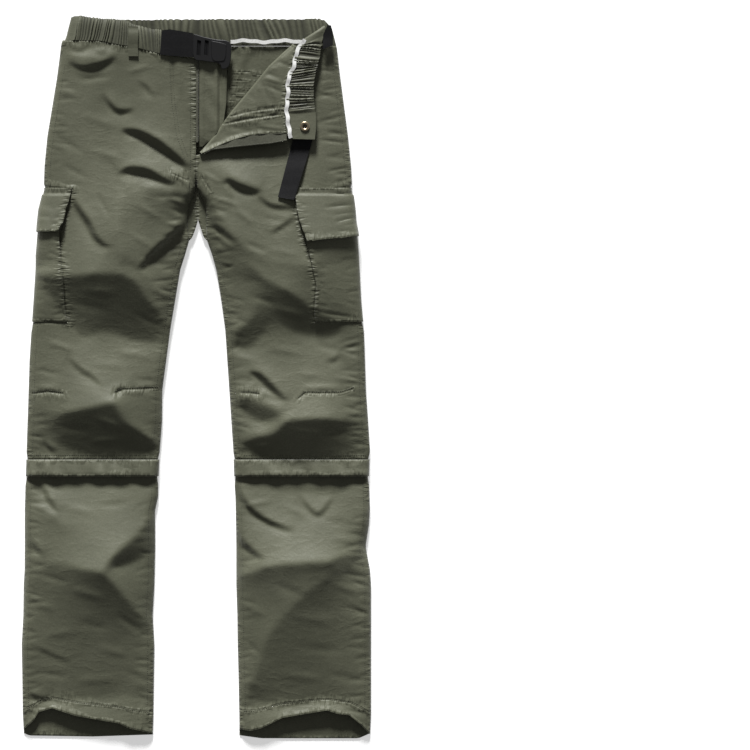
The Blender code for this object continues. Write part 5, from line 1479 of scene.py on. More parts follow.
@dataclass
class CargoPockets:
    """Patch pockets on the outer thighs and the flaps over them."""

    tailor: Dresser
    shorts: ShortsPart

    def patch(self, leg: Leg, name: str, top: float, bottom: float, offset: float, lift: Callable,
              seam_rows: float = 1e9) -> Cloth:
        """Layer on the front that turns round the side seam and ends on the back.

        Args:
            leg: the half it lies on.
            name: the finished piece's name.
            top: height of its top edge.
            bottom: height of its bottom edge.
            offset: how far it lies over the panel.
            lift: how much further it stands off, by row.
            seam_rows: above this height it lies straight on the panel.

        Returns:
            The layer.
        """
        grid, n = self.shorts.faces[leg.sign]
        last = len(leg.edge) - 1 + self.shorts.near
        outer, inner = [], []
        for j in range(self.shorts.row_index(top), self.shorts.row_index(bottom) + 1):
            row = self.shorts.rows[j]
            gap = SEAM if row > seam_rows else offset
            rise = lift(row) * np.clip(np.arange(last + 1) / 4.0, 0, 1)[:, None] * n[j, :last + 1]
            for line, d in ((inner, gap), (outer, gap + WALL)):
                front = grid[j, :last + 1] + d * n[j, :last + 1] + rise
                x, y = grid[j, 0, 0], grid[j, 0, 1]
                low, end = float(base_z(y)) - d, float(column(POCKET_BACK, leg.index, row))
                turn = np.linspace(end, x - leg.sign * 2.0, 6)
                flat = np.stack([turn, np.full(6, y), np.full(6, low)], 1)
                line.append(np.concatenate([flat, [(x + leg.sign * d, y, low)], front]))
        return Cloth(name, np.array(outer), np.array(inner), sewn=True)

    def build(self) -> None:
        """Both pockets and both flaps."""
        for leg, tag, end in ((self.shorts.right, "right", FLAP_END_RIGHT_Y),
                              (self.shorts.left, "left", FLAP_END_LEFT_Y)):
            pocket = self.patch(leg, "pocket_" + tag, POCKET_TOP_Y, POCKET_END_Y, SEAM,
                                lambda row: float(np.interp(row, (84, 110, 164, 206, 250),
                                                            (0, 1.2, 0.6, 6.0, 1.0))))
            self.tailor.sew(pocket, NYLON, ["cargo_pocket_" + tag], "laid", ["shorts_front_" + tag])
            flap = self.patch(leg, "flap_" + tag, FLAP_TOP_Y, end, STACK + SEAM,
                              lambda row, e=end: float(np.interp(row, (e, e + 10, 250, 266),
                                                                 (8.5, 7.0, 2.2, 0.4))),
                              FLAP_SEAM_Y - 2)
            self.tailor.sew(flap, DOUBLED, ["cargo_flap_" + tag], "laid", ["pocket_" + tag])


@dataclass
class Waist:
    """Elastic waistbands, white binding and belt loops."""

    tailor: Dresser
    shorts: ShortsPart
    depth: float = 3.2

    def build_back(self) -> None:
        """The whole back band; its wrong side shows through the open fly."""
        s = np.linspace(0, 1, BACK_BAND_GATHERS * 8 + 1)
        outer, inner, hollow = [], [], []
        for v in np.linspace(0, 1, 13):
            x = -182.5 + 381.0 * s
            lean = 0.018 + 0.016 * np.sin(9.0 * s + 1.0) - 0.012 * np.sin(31.0 * s)
            fold = gathers(BACK_BAND_GATHERS, s + lean * (v - 0.4), 0.5)
            top = along(BACK_BAND_TOP, x) + 1.6 * (fold - 0.5)
            y = WAIST_Y + 0.4 + (top - WAIST_Y - 0.4) * v
            x = np.clip(x, column(SIDES, 1, y), column(SIDES, 2, y))
            x[0], x[-1] = column(SIDES, 1, y[0]), column(SIDES, 2, y[-1])
            deep = np.interp(x, (-52, -42, 175, 190), (0.9, self.depth, self.depth, 0.9))
            # Painted shade: darkens the colour in the hollows between the gathers.
            hollow.append((1 - fold) ** 2 * 0.9)
            lift = deep * fold * (0.45 + 0.55 * math.sin(math.pi * v) ** 0.6)
            outer.append(np.stack([x, y, HIP_BASE + 1.6 + lift], 1))
            inner.append(np.stack([x, y, np.full_like(x, HIP_BASE)], 1))
        cloth = Cloth("band_back", np.array(outer), np.array(inner), hollow=np.array(hollow))
        self.tailor.sew(cloth, DOUBLED, ["waistband_back"], "gathered", ["belt_loop_back_centre"])

    def build_front(self) -> None:
        """The right half of the front band, gathered over its elastic."""
        panel = self.shorts.faces[-1][0][0]
        relief = self.shorts.right.relief
        edge = 10.0 * np.array((0.0, 0.04, 0.13, 0.3, 0.5, 0.75, 1.0))
        share = np.linspace(0, 1, FRONT_BAND_GATHERS * 9 + 1)[1:]
        d = np.r_[edge, np.full(len(share), 10.0)]
        share = np.r_[np.zeros(len(edge)), share]
        outer, inner, hollow = [], [], []
        for v in np.linspace(0, 1, 15):
            y = np.full(len(d), 500.0)
            lean = 0.02 + 0.03 * np.sin(8.0 * share + 2.0)
            fold = gathers(FRONT_BAND_GATHERS, share + lean * (v - 0.4), 0.5) * np.clip(share * 30, 0, 1)
            # Painted shade: darkens the colour in the hollows between the gathers.
            hollow.append((1 - fold) ** 2 * 0.9 * np.clip(share * 12, 0, 1))
            for _ in range(4):
                start = column(SIDES, 1, y) + d
                x = start + (-47.0 - start) * share
                low = np.interp(x, panel[:, 0], panel[:, 1]) + SEAM
                y = low + (along(FRONT_BAND_TOP, x) + 1.8 * (fold - 0.6) - low) * v
            rim = HIP_BASE + 1.6 + 0.9 + SEAM + 0.1
            rise = arch(d, 10.0)
            level = relief.level(x, np.minimum(y - 4 * v, 500))
            bottom = np.maximum(level, rim + BAND_WALL)
            round_off = 1 - 0.25 * v ** 6
            lift = 3.0 * fold * (0.35 + 0.65 * math.sin(math.pi * min(1, 0.06 + v)) ** 0.5)
            z = rim + (bottom - 1.5 * v + lift - rim) * rise * round_off
            outer.append(np.stack([x, y, z], 1))
            inner.append(np.stack([x + BAND_WALL * np.sqrt(1 - rise), y,
                                   np.maximum(z - BAND_WALL * rise - 0.6 * lift * rise, rim)], 1))
        outer, inner = np.array(outer), np.array(inner)
        inner[:, 0, 2] = outer[:, 0, 2]
        cloth = Cloth("band_front_right", outer, inner, hollow=np.array(hollow))
        self.tailor.sew(cloth, DOUBLED, ["waistband_front_right"], "gathered", ["band_back"])

    def build_turned(self) -> None:
        """The left half of the front band, turned over with its corner, wrong side up."""
        edge = self.shorts.corner[0][:, -1]
        rows = smooth_strip([r[:4] for r in TURNED_BAND], 1.0)
        s = np.linspace(0, 1, 15)
        outer, inner, hollow = [], [], []
        for xa, ya, xb, yb in rows:
            if edge[-1, 1] < ya < edge[0, 1]:
                xa = float(np.interp(ya, edge[::-1, 1], edge[::-1, 0])) + 0.1
            share = np.clip((ya - 384) / 98, 0, 1) + (0.05 * math.sin(ya / 9.0) + 0.03) * (s - 0.3)
            fold = gathers(13, share, 0.55, 0.5) * float(np.clip((ya - 383) / 6, 0, 1))
            x, y = xa + 0.3 + (xb - xa - 0.3) * s - 1.6 * fold[-1] * s ** 4, ya + (yb - ya) * s
            z = (self.shorts.corner_level(0.5 * (ya + yb)) - 0.4
                 + 3.4 * fold * np.sin(math.pi * np.clip(s, 0.1, 0.94)) ** 0.5)
            # Painted shade: darkens the colour in the hollows between the gathers.
            hollow.append((1 - fold) ** 2 * 0.9 * float(np.clip((ya - 386) / 6, 0, 1)))
            outer.append(np.stack([x, y, z], 1))
            inner.append(np.stack([x, y, z + BAND_WALL], 1))
        self.tab_z = float(inner[16][7, 2])
        push_out, up = np.array((-0.53, 0.85, 0.0)) * 0.9, np.array((0.0, 0.0, 1.0))
        top, radius = outer[-1], TURN_GAP / 2
        for k in range(1, 8):
            turn = math.pi * (8 - k) / 8
            push = push_out * math.sin(turn) - up * math.cos(turn)
            outer.append(top - radius * up + radius * push)
            inner.append(top - radius * up + (radius + BAND_WALL) * push)
        foot = top - 2 * radius * up
        outer.append(foot)
        inner.append(foot - BAND_WALL * up)
        for xa, ya, xb, yb in HIDDEN_BAND:
            z = np.full_like(s, foot[0, 2] - 0.6)
            line = np.stack([xa + (xb - xa) * s, ya + (yb - ya) * s, z], 1)
            outer.append(line)
            inner.append(line - BAND_WALL * up)
        hollow += [hollow[-1]] * (len(outer) - len(hollow))
        cloth = Cloth("band_front_left", np.array(outer), np.array(inner), hollow=np.array(hollow))
        self.tailor.sew(cloth, DOUBLED, ["waistband_front_left"], "folded", ["shorts_front_left"])

    def build_tapes(self) -> None:
        """White binding on the back band and along the turned band."""
        x = np.linspace(50, 156, 120)
        wave = 1.2 * np.sin(x / 9.0) + 0.5 * np.sin(x / 3.3)
        z = HIP_BASE + 1.6 + self.depth + 0.3 + 0.35 * np.sin(x / 4.1)
        y = 488.7 + wave
        cloth = ribbon("tape_back", np.stack([x, y + 2.7], 1), np.stack([x, y - 2.7], 1), z, z + 1.0, 4)
        self.tailor.sew(cloth, BINDING, ["waist_tape_back"], "stretched", ["band_back"])
        path = np.array([(157, 491), (152.5, 482), (148, 474), (144.5, 464), (141.5, 453), (137.5, 442),
                         (134.5, 430), (133, 415), (132.5, 400), (132.5, 385), (133, 370), (135.5, 358),
                         (139, 348)], float)
        line = curve(path, 1.2)
        n = np.gradient(line, axis=0)
        n = np.stack([n[:, 1], -n[:, 0]], 1) / np.linalg.norm(n, axis=1)[:, None]
        ripple = 0.8 * np.sin(line[:, 1] / 2.9) + 0.9 * np.sin(line[:, 1] / 6.7)
        mid = line + n * ripple[:, None] * 0.9
        level = np.interp(line[:, 1], (345, 400, 470, 500), (21.0, 20.5, 19.5, 18.5))
        high = level + BAND_WALL + 1.3 + 0.5 * np.sin(line[:, 1] / 3.1)
        cloth = ribbon("tape_left", mid - 2.8 * n, mid + 2.8 * n, high - 1.0, high, 4)
        self.tailor.sew(cloth, BINDING, ["waist_tape_left"], "stretched", ["band_front_left"])

    def build_loops(self) -> None:
        """Belt loops: one over the right front band, three on the back."""
        y = np.linspace(509.5, 466.5, 30)
        relief = self.shorts.right.relief
        rest = np.interp(y, (467, 478, 488, 500, 509), (0.0, 1.0, 2.2, 2.4, 1.0))
        z = 15.6 + rest + 0.9 * np.sin(np.linspace(0, math.pi, 30)) ** 0.4
        z = np.maximum(z, relief.level(np.full(30, -90.0), np.minimum(y, 480)) + 1.4)
        left = np.stack([-98.0 + 0.4 * np.sin(y / 6), y], 1)
        right = np.stack([-83.7 + 0.4 * np.sin(y / 6), y], 1)
        cloth = ribbon("loop_front", left, right, z, z + 1.5 + 0.2 * np.sin(y / 3), 8)
        self.tailor.sew(cloth, DOUBLED, ["belt_loop_front"], "laid", ["band_front_right"])
        for tag, (x, low, high, lean, width) in zip(("right", "centre", "left"), BACK_LOOPS):
            y = np.linspace(high, low, 16)
            mid = x + lean * (y - low) / (high - low)
            left, right = np.stack([mid - width / 2, y], 1), np.stack([mid + width / 2, y], 1)
            base = np.full(16, STACK)
            cloth = ribbon("loop_back_" + tag, left, right, base, base + WALL, 6)
            self.tailor.sew(cloth, DOUBLED, ["belt_loop_back_" + tag], "laid", ["band_back"])

    def build(self) -> None:
        """Every piece of the waist, in order."""
        self.build_back()
        self.build_front()
        self.build_turned()
        self.build_tapes()
        self.build_loops()


@dataclass
class BackPockets:
    """Patch pockets and flaps under the backs."""

    tailor: Dresser

    @staticmethod
    def quad(name: str, corners: Sequence, low: float) -> Cloth:
        """Flat patch between four corners given round it from the top inner one."""
        (ax, ay), (bx, by), (cx, cy), (dx, dy) = corners
        v, u = np.meshgrid(np.linspace(0, 1, 30), np.linspace(0, 1, 40), indexing="ij")
        x = (1 - v) * ((1 - u) * ax + u * bx) + v * ((1 - u) * dx + u * cx)
        y = (1 - v) * ((1 - u) * ay + u * by) + v * ((1 - u) * dy + u * cy)
        z = np.full_like(x, low)
        return Cloth(name, np.dstack([x, y, z + WALL]), np.dstack([x, y, z]))

    def build(self) -> None:
        """Both pockets and both flaps."""
        for tag, pocket, flap in (("right", BACK_POCKET_RIGHT, BACK_FLAP_RIGHT),
                                  ("left", BACK_POCKET_LEFT, BACK_FLAP_LEFT)):
            piece = self.quad("rear_pocket_" + tag, pocket, STACK)
            self.tailor.sew(piece, NYLON, ["back_pocket_" + tag], "laid", ["rear_flap_" + tag])
            a, b, c, d, e = flap
            rows = []
            for v in np.linspace(0, 1, 24):
                ends = np.array(a) + (np.array(e) - a) * v, np.array(b) + (np.array(c) - b) * v
                u = np.linspace(0, 1, 40)
                line = ends[0] + (ends[1] - ends[0]) * u[:, None]
                foot = np.array(e) + (np.array(c) - e) * u[:, None]
                low_edge = np.stack([foot[:, 0], along((e, d, c), foot[:, 0])], 1)
                rows.append(line + (low_edge - foot) * v)
            plan = np.array(rows)
            flat = np.zeros(plan.shape[:2] + (1,))
            piece = Cloth("rear_flap_" + tag, np.dstack([plan, flat + WALL]), np.dstack([plan, flat]))
            self.tailor.sew(piece, DOUBLED, ["back_flap_" + tag], "laid", ["pale_floor"])


@dataclass
class Fly:
    """Open fly: zip tapes with their teeth and the shield behind them."""

    tailor: Dresser
    shorts: ShortsPart

    def tops(self, y: np.ndarray) -> np.ndarray:
        """Height of the right front's fly edge."""
        grid = self.shorts.faces[-1][0]
        lows = [np.interp(y, grid[::-1, k, 1], grid[::-1, k, 2]) for k in (-1, -2)]
        return np.minimum(*lows)

    def build(self, maker: "Repeats") -> None:
        """Both tapes, the shield and both rows of teeth.

        Args:
            maker: lays the teeth.
        """
        y = np.linspace(462.5, 342, 60)
        top = self.tops(y)
        left, right = np.stack([0 * y + 0.2, y], 1), np.stack([0 * y + 4.4, y], 1)
        tape = ribbon("fly_tape_right", left, right, top - WALL, top + 0.2, 3)
        self.tailor.sew(tape, ZIP, ["fly_zip_right"], "laid", ["shield_piece"])
        y = np.linspace(462.5, 336, 62)
        top = self.tops(y) - np.interp(y, (336, 360), (2.5, 0))
        outer_x = np.interp(y, (336, 346, 358, 372, 400, 462), (9, 22, 33, 40, 44, 45))
        s = np.linspace(0, 1, 25)[None, :]
        x = 4.7 + (outer_x[:, None] - 4.7) * s
        lift = 0.9 * np.exp(-((x - 9) / 3.2) ** 2) + 2.2 * np.exp(-((x - 29.5) / 3.0) ** 2)
        lift += 1.2 * np.exp(-((x - 41) / 2.5) ** 2) - 1.6 * np.exp(-((x - 35) / 2.2) ** 2)
        lift += 0.5 * np.sin(y[:, None] / 7.0 + x / 5.0) * np.sin(math.pi * s) + 0.5
        z = (top - 2.2)[:, None] + lift
        plan = np.dstack([x, y[:, None] + 0 * x])
        shield = Cloth("shield_piece", np.dstack([plan, z + WALL]), np.dstack([plan, z]))
        self.tailor.sew(shield, NYLON, ["fly_shield"], "laid", ["band_back"])
        edge = self.shorts.corner[0][-1]
        low_y = along(ZIP_LIP, edge[:, 0])
        drop = np.stack([edge[1:, 0], edge[1:, 1] - SEAM], 1), np.stack([edge[1:, 0], low_y[1:]], 1)
        wave = 0.4 * np.sin(edge[1:, 0] / 4.0)
        lip = ribbon("fly_tape_left", *drop, edge[1:, 2] - 0.5 + wave, edge[1:, 2] + 1.0 + wave, 5)
        self.tailor.sew(lip, ZIP, ["fly_zip_left"], "laid", ["shorts_front_left"])
        run = np.linspace(458, 344, 40)
        line = np.stack([0 * run + 3.4, run, self.tops(run) + 0.6], 1)
        maker.teeth("fly_teeth_right", line)
        foot = np.stack([edge[2:, 0], low_y[2:] + 0.8, edge[2:, 2] + 1.3], 1)
        maker.teeth("fly_teeth_left", foot)


@dataclass
class Belt:
    """Webbing, its loose tail, the piece seen at the side and the buckle."""

    tailor: Dresser
    relief: Relief
    level: float = 16.0
    thick: float = WEBBING_WALL

    @staticmethod
    def between(name: str, first: Sequence, second: Sequence, z: Callable, step: float = 1.2,
                thick: float = WEBBING_WALL) -> Cloth:
        """Webbing between two edge lines.

        Args:
            name: the finished piece's name.
            first: points of one edge.
            second: points of the other edge.
            z: underside by share along it, x and y.
            step: spacing of its rows.
            thick: its thickness.

        Returns:
            The piece.
        """
        a, b = smooth_strip(first, step), smooth_strip(second, step)
        share = np.linspace(0, 1, max(len(a), len(b)))
        a, b = (np.stack([np.interp(share, np.linspace(0, 1, len(p)), p[:, k]) for k in (0, 1)], 1)
                for p in (a, b))
        s = np.linspace(0, 1, 17)[None, :, None]
        plan = a[:, None] + (b - a)[:, None] * s
        low = z(share[:, None] + 0 * s[..., 0], plan[..., 0], plan[..., 1])
        rib = 0.12 * np.cos(2 * math.pi * 7.5 * (s[..., 0] - 0.5))
        return Cloth(name, np.dstack([plan, low + thick + rib]), np.dstack([plan, low]))

    def build(self) -> None:
        """Every piece of the belt."""
        main = self.between("webbing_waist", ((-49.5, 504), (-38, 505.5), (-4.4, 500)),
                            ((-52, 469), (-35, 467), (-3.4, 465)),
                            lambda s, x, y: self.level + 0.5 * np.sin(x / 8.0))
        slots = [[(2.5 + d, 490), (7.5 + d, 488.5), (6.5 + d, 467), (1.5 + d, 468.5)] for d in (0, 11)]
        threaded = []
        for tag, (a, b, c, d) in zip(("near", "far"), slots):
            part = self.between("webbing_slot_" + tag, (a, d), (b, c),
                                lambda s, x, y: np.full_like(x, self.level + 0.9), 1.2, 1.0)
            threaded.append(self.tailor.dress(part.build(), WEBBING))
        self.tailor.sew(main, WEBBING, ["belt_webbing_right"], "laid", ["band_front_right"], threaded)
        # Black webbing strip at the side of the left front band: belt webbing that also paints the shade in
        # the fold there.
        side = self.between("webbing_side", ((184, 476), (184.5, 497), (191, 511.5)),
                            ((198.5, 482), (199, 496), (196, 510.5)),
                            lambda s, x, y: 22.5 + 0.3 * np.sin(y / 5.0))
        self.tailor.sew(side, WEBBING, ["belt_webbing_side"], "laid", ["band_front_left"])
        y = np.linspace(352, 259.5, 9)
        low = [max(float(self.relief.level(x, v).max()) for x, v in [np.meshgrid(
            np.linspace(np.interp(h, (259.5, 352), (118, 142)), np.interp(h, (259.5, 352), (144, 170)), 8),
            np.linspace(h - 10, h + 10, 8))]) + 0.8 for h in y]
        low[0] = min(low[0], 17.0)
        tail = self.between("webbing_tail", ((142, 354), (139.5, 342), (119, 262)),
                            ((170, 350), (167, 338), (142.5, 257.5)),
                            lambda s, x, v: np.interp(v, y[::-1], low[::-1]) + 0.5 * np.sin(v / 9.0))
        self.tailor.sew(tail, WEBBING, ["belt_webbing_left"], "laid", ["shorts_front_left"])
        buckle = plate("buckle_half", BUCKLE, slots, self.level - 0.5, self.level + 3.5)
        self.tailor.dress(buckle, PLASTIC, ["belt_buckle"])
        bar = plate("buckle_ridge", ((22, 489), (42, 484.5), (44, 480), (43, 464), (38, 459), (24, 462)),
                    [], self.level + 3.2, self.level + 4.4)
        self.tailor.dress(bar, PLASTIC)


def plate(name: str, outline: Sequence, holes: Sequence, low: float, high: float,
          bevel: float = 0.7) -> bpy.types.Object:
    """Moulded plate with rounded corners, softened edges and holes.

    Args:
        name: the finished object's name.
        outline: corner points round it.
        holes: corner points round each hole.
        low: height of its underside.
        high: height of its top.
        bevel: how far its edges are softened.

    Returns:
        The linked object.
    """
    bm = bmesh.new()
    caps: tuple[list, list] = ([], [])
    for ring, hole in [(outline, False)] + [(h, True) for h in holes]:
        p = np.asarray(ring, float)
        p = curve(np.vstack([p, p[:1]]), 1.6)[:-1] if not hole else p
        area = float((p[:, 0] * np.roll(p[:, 1], -1) - np.roll(p[:, 0], -1) * p[:, 1]).sum())
        run = np.roll(p, -1, 0) - np.roll(p, 1, 0)
        side = np.stack([-run[:, 1], run[:, 0]], 1) / np.linalg.norm(run, axis=1)[:, None]
        inset = side * (1 if area > 0 else -1) * (-0.4 if hole else bevel)
        loops = []
        for q, z in ((p + inset, low), (p, low + bevel), (p, high - bevel), (p + inset, high)):
            loops.append([bm.verts.new((a * MM, b * MM, z * MM)) for a, b in q])
        for a, b in zip(loops[:-1], loops[1:]):
            for k in range(len(a)):
                m = (k + 1) % len(a)
                bm.faces.new((a[k], a[m], b[m], b[k]))
        for cap, loop in zip(caps, (loops[0], loops[-1])):
            cap += [bm.edges.get((loop[k], loop[(k + 1) % len(loop)])) for k in range(len(loop))]
    for cap in caps:
        bmesh.ops.triangle_fill(bm, use_beauty=True, edges=cap)
    bmesh.ops.recalc_face_normals(bm, faces=bm.faces)
    mesh = bpy.data.meshes.new(name)
    bm.to_mesh(mesh)
    bm.free()
    mesh.polygons.foreach_set("use_smooth", [True] * len(mesh.polygons))
    mesh.set_sharp_from_angle(angle=0.7)
    body = bpy.data.objects.new(name, mesh)
    bpy.context.scene.collection.objects.link(body)
    return body


@dataclass
class Stud:
    """Press stud on the tab of the turned band."""

    tailor: Dresser
    centre: tuple[float, float, float]
    sides: int = 64

    def lathe(self, name: str, profile: Sequence, hollow: bool) -> bpy.types.Object:
        """Turned piece from a profile of (radius, height); a hollow one closes on itself."""
        turn = 2 * math.pi * np.arange(self.sides) / self.sides
        x, y, z = self.centre
        verts = [(x + r * math.cos(a), y + r * math.sin(a), z + h) for r, h in profile for a in turn]
        faces, count = [], len(profile)
        for j in range(count if hollow else count - 1):
            for k in range(self.sides):
                m, n = (k + 1) % self.sides, (j + 1) % count
                faces.append((j * self.sides + k, j * self.sides + m,
                              n * self.sides + m, n * self.sides + k))
        if not hollow:
            faces.append(tuple(range(self.sides)))
            faces.append(tuple(range((count - 1) * self.sides, count * self.sides)))
        return mesh_object(name, np.array(verts) * MM, faces, 0.9)

    def build(self) -> None:
        """Ring and core."""
        ring = ((3.0, 0.0), (6.6, 0.0), (7.05, 0.25), (7.2, 0.6), (7.0, 1.2), (6.5, 1.7),
                (5.6, 2.0), (4.7, 1.9), (4.0, 1.6), (3.3, 1.2), (3.0, 0.9))
        self.tailor.dress(self.lathe("stud_ring", ring, True), BRASS, ["snap_ring"])
        core = ((2.7, 0.0), (2.7, 0.5), (2.5, 0.8), (2.0, 0.95), (1.4, 0.8), (0.9, 0.75))
        self.tailor.dress(self.lathe("stud_core", core, False), CORE, ["snap_core"])


class Repeats:
    """Lays stitches and zip teeth along lines with Geometry Nodes."""

    def __init__(self, tailor: Dresser) -> None:
        """Builds the tree once.

        Args:
            tailor: dresses the results.
        """
        self.tailor = tailor
        self.tree = bpy.data.node_groups.new("along_lines", "GeometryNodeTree")
        sockets = {}
        for label, kind, value in (("Lines", "NodeSocketGeometry", None),
                                   ("Pitch", "NodeSocketFloat", 0.003),
                                   ("Size", "NodeSocketVector", (0.001, 0.0004, 0.0003)),
                                   ("Unevenness", "NodeSocketFloat", 0.15), ("Seed", "NodeSocketInt", SEED),
                                   ("Material", "NodeSocketMaterial", None)):
            socket = self.tree.interface.new_socket(name=label, in_out="INPUT", socket_type=kind)
            if value is not None:
                socket.default_value = value
            sockets[label] = socket.identifier
        self.tree.interface.new_socket(name="Geometry", in_out="OUTPUT", socket_type="NodeSocketGeometry")
        self.sockets = sockets
        g = Graph(self.tree)
        inp, out = g.node("NodeGroupInput"), g.node("NodeGroupOutput")
        lines = g.node("GeometryNodeMeshToCurve", in_Mesh=inp.outputs["Lines"])
        points = g.node("GeometryNodeResampleCurve", mode="LENGTH", in_Curve=lines.outputs[0],
                        in_Length=inp.outputs["Pitch"])
        ball = g.node("GeometryNodeMeshIcoSphere", in_Radius=1.0, in_Subdivisions=1)
        scaled = g.node("GeometryNodeTransform", in_Geometry=ball.outputs[0], in_Scale=inp.outputs["Size"])
        run = g.node("GeometryNodeInputTangent")
        turn = g.node("FunctionNodeAlignRotationToVector", axis="X", in_Vector=run.outputs[0])
        low = g.math("SUBTRACT", 1.0, inp.outputs["Unevenness"])
        high = g.math("ADD", 1.0, inp.outputs["Unevenness"])
        chance = g.node("FunctionNodeRandomValue", data_type="FLOAT")
        g.link(low, chance.inputs[2])
        g.link(high, chance.inputs[3])
        g.link(inp.outputs["Seed"], chance.inputs["Seed"])
        laid = g.node("GeometryNodeInstanceOnPoints", in_Points=points.outputs[0],
                      in_Instance=scaled.outputs[0], in_Rotation=turn.outputs[0],
                      in_Scale=chance.outputs[1])
        real = g.node("GeometryNodeRealizeInstances", in_Geometry=laid.outputs[0])
        done = g.node("GeometryNodeSetMaterial", in_Geometry=real.outputs[0],
                      in_Material=inp.outputs["Material"])
        g.link(done.outputs[0], out.inputs[0])

    def lay(self, name: str, lines: Sequence[np.ndarray], finish: Finish, pitch: float,
            size: Sequence[float], uneven: float) -> bpy.types.Object:
        """Mesh of small pieces along some lines.

        Args:
            name: the finished object's name.
            lines: points of each line, in millimetres.
            finish: what the pieces are made of.
            pitch: their spacing, in millimetres.
            size: half sizes along, across and up, in millimetres.
            uneven: spread of their sizes.

        Returns:
            The plain mesh object.
        """
        verts, edges = [], []
        for line in lines:
            edges += [(len(verts) + k, len(verts) + k + 1) for k in range(len(line) - 1)]
            verts += (np.asarray(line) * MM).tolist()
        guide_mesh = bpy.data.meshes.new(name + "_guide")
        guide_mesh.from_pydata(verts, edges, [])
        guide = bpy.data.objects.new(name + "_guide", guide_mesh)
        bpy.context.scene.collection.objects.link(guide)
        modifier = guide.modifiers.new("along", "NODES")
        modifier.node_group = self.tree
        modifier[self.sockets["Pitch"]] = pitch * MM
        modifier[self.sockets["Size"]] = tuple(v * MM for v in size)
        modifier[self.sockets["Unevenness"]] = uneven
        modifier[self.sockets["Seed"]] = SEED + len(self.tailor.made)
        modifier[self.sockets["Material"]] = self.tailor.material(finish)
        graph = bpy.context.evaluated_depsgraph_get()
        mesh = bpy.data.meshes.new_from_object(guide.evaluated_get(graph))
        bpy.data.objects.remove(guide, do_unlink=True)
        mesh.polygons.foreach_set("use_smooth", [True] * len(mesh.polygons))
        piece = bpy.data.objects.new(name, mesh)
        bpy.context.scene.collection.objects.link(piece)
        return self.tailor.dress(piece, finish)

    def stitches(self, name: str, lines: Sequence[np.ndarray]) -> None:
        """Rows of stitches."""
        self.lay(name, lines, THREAD, STITCH_PITCH, (1.15, 0.34, 0.26), 0.12)

    def teeth(self, name: str, line: np.ndarray) -> None:
        """One row of coil teeth."""
        self.lay(name, [line], COIL, 1.5, (0.45, 1.1, 0.6), 0.05)


@dataclass
class Sewing:
    """Every row of stitches, laid on the surfaces of the pieces."""

    maker: Repeats
    shorts: ShortsPart
    right: Leg
    left: Leg
    lift: float = 0.2

    def on_front(self, leg: Leg, points: Sequence, above: float = 0.0, step: float = 2.0) -> np.ndarray:
        """Line on the front of one leg.

        Args:
            leg: the half it lies on.
            points: (x, y) of a few points.
            above: thickness of what lies between.
            step: spacing of the result.

        Returns:
            Points just over the surface.
        """
        line = smooth_strip(points, step)
        x, y = line[:, 0], line[:, 1]
        soft = np.interp(y, (262, 300), (1, 0))
        z = leg.surface(x, y, leg.side(y), leg.inner(y), soft)
        return np.stack([x, y, z + above + self.lift], 1)

    def edge_run(self, edge: Edge, high: float, low: float, inset: float, above: float = 0.0) -> np.ndarray:
        """Line along an edge of the front, set in from it."""
        leg = self.right if edge.value.endswith("right") else self.left
        y = np.linspace(high, low, max(4, int((high - low) / 3)))
        points = [(edge.at(v) + edge.inward * inset, v) for v in y]
        return self.on_front(leg, points, above)

    def build(self) -> None:
        """Stitches along the fronts' edges, the knee darts, the hems, above the knee zips and beside the
        fly.
        """
        for side, leg in (("right", self.right), ("left", self.left)):
            edge, inner = Edge("side " + side), Edge("inner " + side)
            rows = [self.edge_run(edge, 455, 290, 9), self.edge_run(edge, 75, -112, 9),
                    self.edge_run(edge, -150, -486, 9), self.edge_run(inner, 55, -110, 9),
                    self.edge_run(inner, -150, -486, 9), self.edge_run(inner, 190, 60, 9)]
            darts = KNEE_DARTS[side]
            rows += [self.on_front(leg, [(x, y + 2.6) for x, y in dart]) for dart in darts]
            x = np.linspace(float(leg.side(-470)) - leg.sign * 8, float(leg.inner(-470)) + leg.sign * 8, 60)
            rows.append(self.on_front(leg, np.stack([x, leg.tilt(-473.0, x)], 1)))
            rows.append(self.on_front(leg, np.stack([x, np.full_like(x, -112.0)], 1)))
            self.maker.stitches("stitches_legs_" + side, rows)
            LOG.info("%s leg stitched along %d lines", side, len(rows))
        seat = [self.on_front(self.right, [(-8, y) for y in (300, 380, 455)]),
                self.on_front(self.right, [(-34, 462), (-31, 403), (-24, 356), (-12, 322)]),
                self.on_front(self.right, [(-38.5, 462), (-35.5, 403), (-28, 352), (-15, 316)])]
        self.maker.stitches("stitches_fly", seat)


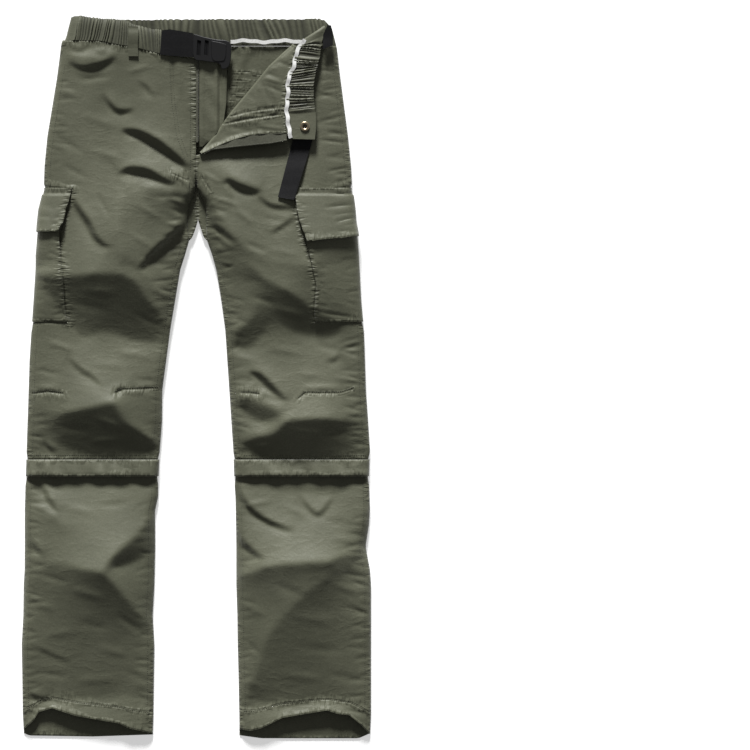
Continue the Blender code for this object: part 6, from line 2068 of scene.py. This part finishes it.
@dataclass
class Studio:
    """Floor, lights and camera, straight above the laid garment."""

    tailor: Dresser
    aim: tuple[float, float] = (0.2596, 0.0044)
    height: float = 6.0
    span: float = 1.0875
    sun_height: float = 19.0
    sun_strength: float = 7.6
    ambient: float = 0.16

    def floor(self) -> None:
        """Pale floor under everything."""
        mesh = bpy.data.meshes.new("pale_floor")
        size = 6.0
        mesh.from_pydata([(-size, -size, -0.0002), (size, -size, -0.0002), (size, size, -0.0002),
                          (-size, size, -0.0002)], [], [(0, 1, 2, 3)])
        floor = bpy.data.objects.new("pale_floor", mesh)
        bpy.context.scene.collection.objects.link(floor)
        material = self.tailor.material(FLOOR)
        shader = material.node_tree.nodes["Principled BSDF"]
        shader.inputs["Emission Color"].default_value = (1, 1, 1, 1)
        shader.inputs["Emission Strength"].default_value = 0.45
        mesh.materials.append(material)

    def lights(self) -> None:
        """Low wide sun from the waist end and an even sky."""
        sun = bpy.data.lights.new("window", "SUN")
        sun.energy = self.sun_strength
        sun.angle = math.radians(13)
        lamp = bpy.data.objects.new("window", sun)
        lamp.rotation_euler = (math.radians(-(90 - self.sun_height)), 0, math.radians(6))
        bpy.context.scene.collection.objects.link(lamp)
        world = bpy.data.worlds.new("even_sky")
        world.use_nodes = True
        back = world.node_tree.nodes["Background"]
        back.inputs["Color"].default_value = (1, 1, 1, 1)
        back.inputs["Strength"].default_value = self.ambient
        bpy.context.scene.world = world

    def camera(self) -> None:
        """Camera with the photo's framing."""
        data = bpy.data.cameras.new("overhead")
        data.sensor_width = 36.0
        data.lens = 36.0 * self.height / self.span
        data.clip_end = 50.0
        eye = bpy.data.objects.new("overhead", data)
        eye.location = (*self.aim, self.height + 0.015)
        bpy.context.scene.collection.objects.link(eye)
        bpy.context.scene.camera = eye

    def build(self) -> None:
        """The whole stage, with plain display colours."""
        self.floor()
        self.lights()
        self.camera()
        bpy.context.scene.view_settings.view_transform = "Standard"


def main() -> None:
    """Builds every piece and the stage."""
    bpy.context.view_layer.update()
    tailor = Dresser()
    relief = Relief()
    right, left = Leg(-1, relief), Leg(1, relief)
    maker = Repeats(tailor)
    shorts = ShortsPart(tailor, right, left)
    shorts.build_right()
    shorts.build_left()
    shorts.build_backs()
    LowerLegs(tailor, right, left).build()
    KneeJoins(tailor, right, left).build()
    CargoPockets(tailor, shorts).build()
    waist = Waist(tailor, shorts)
    waist.build()
    BackPockets(tailor).build()
    Fly(tailor, shorts).build(maker)
    Belt(tailor, relief).build()
    Stud(tailor, (158.0, 364.5, waist.tab_z + 0.2)).build()
    Sewing(maker, shorts, right, left).build()
    Studio(tailor).build()
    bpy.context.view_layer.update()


if __name__ == "__main__":
    main()
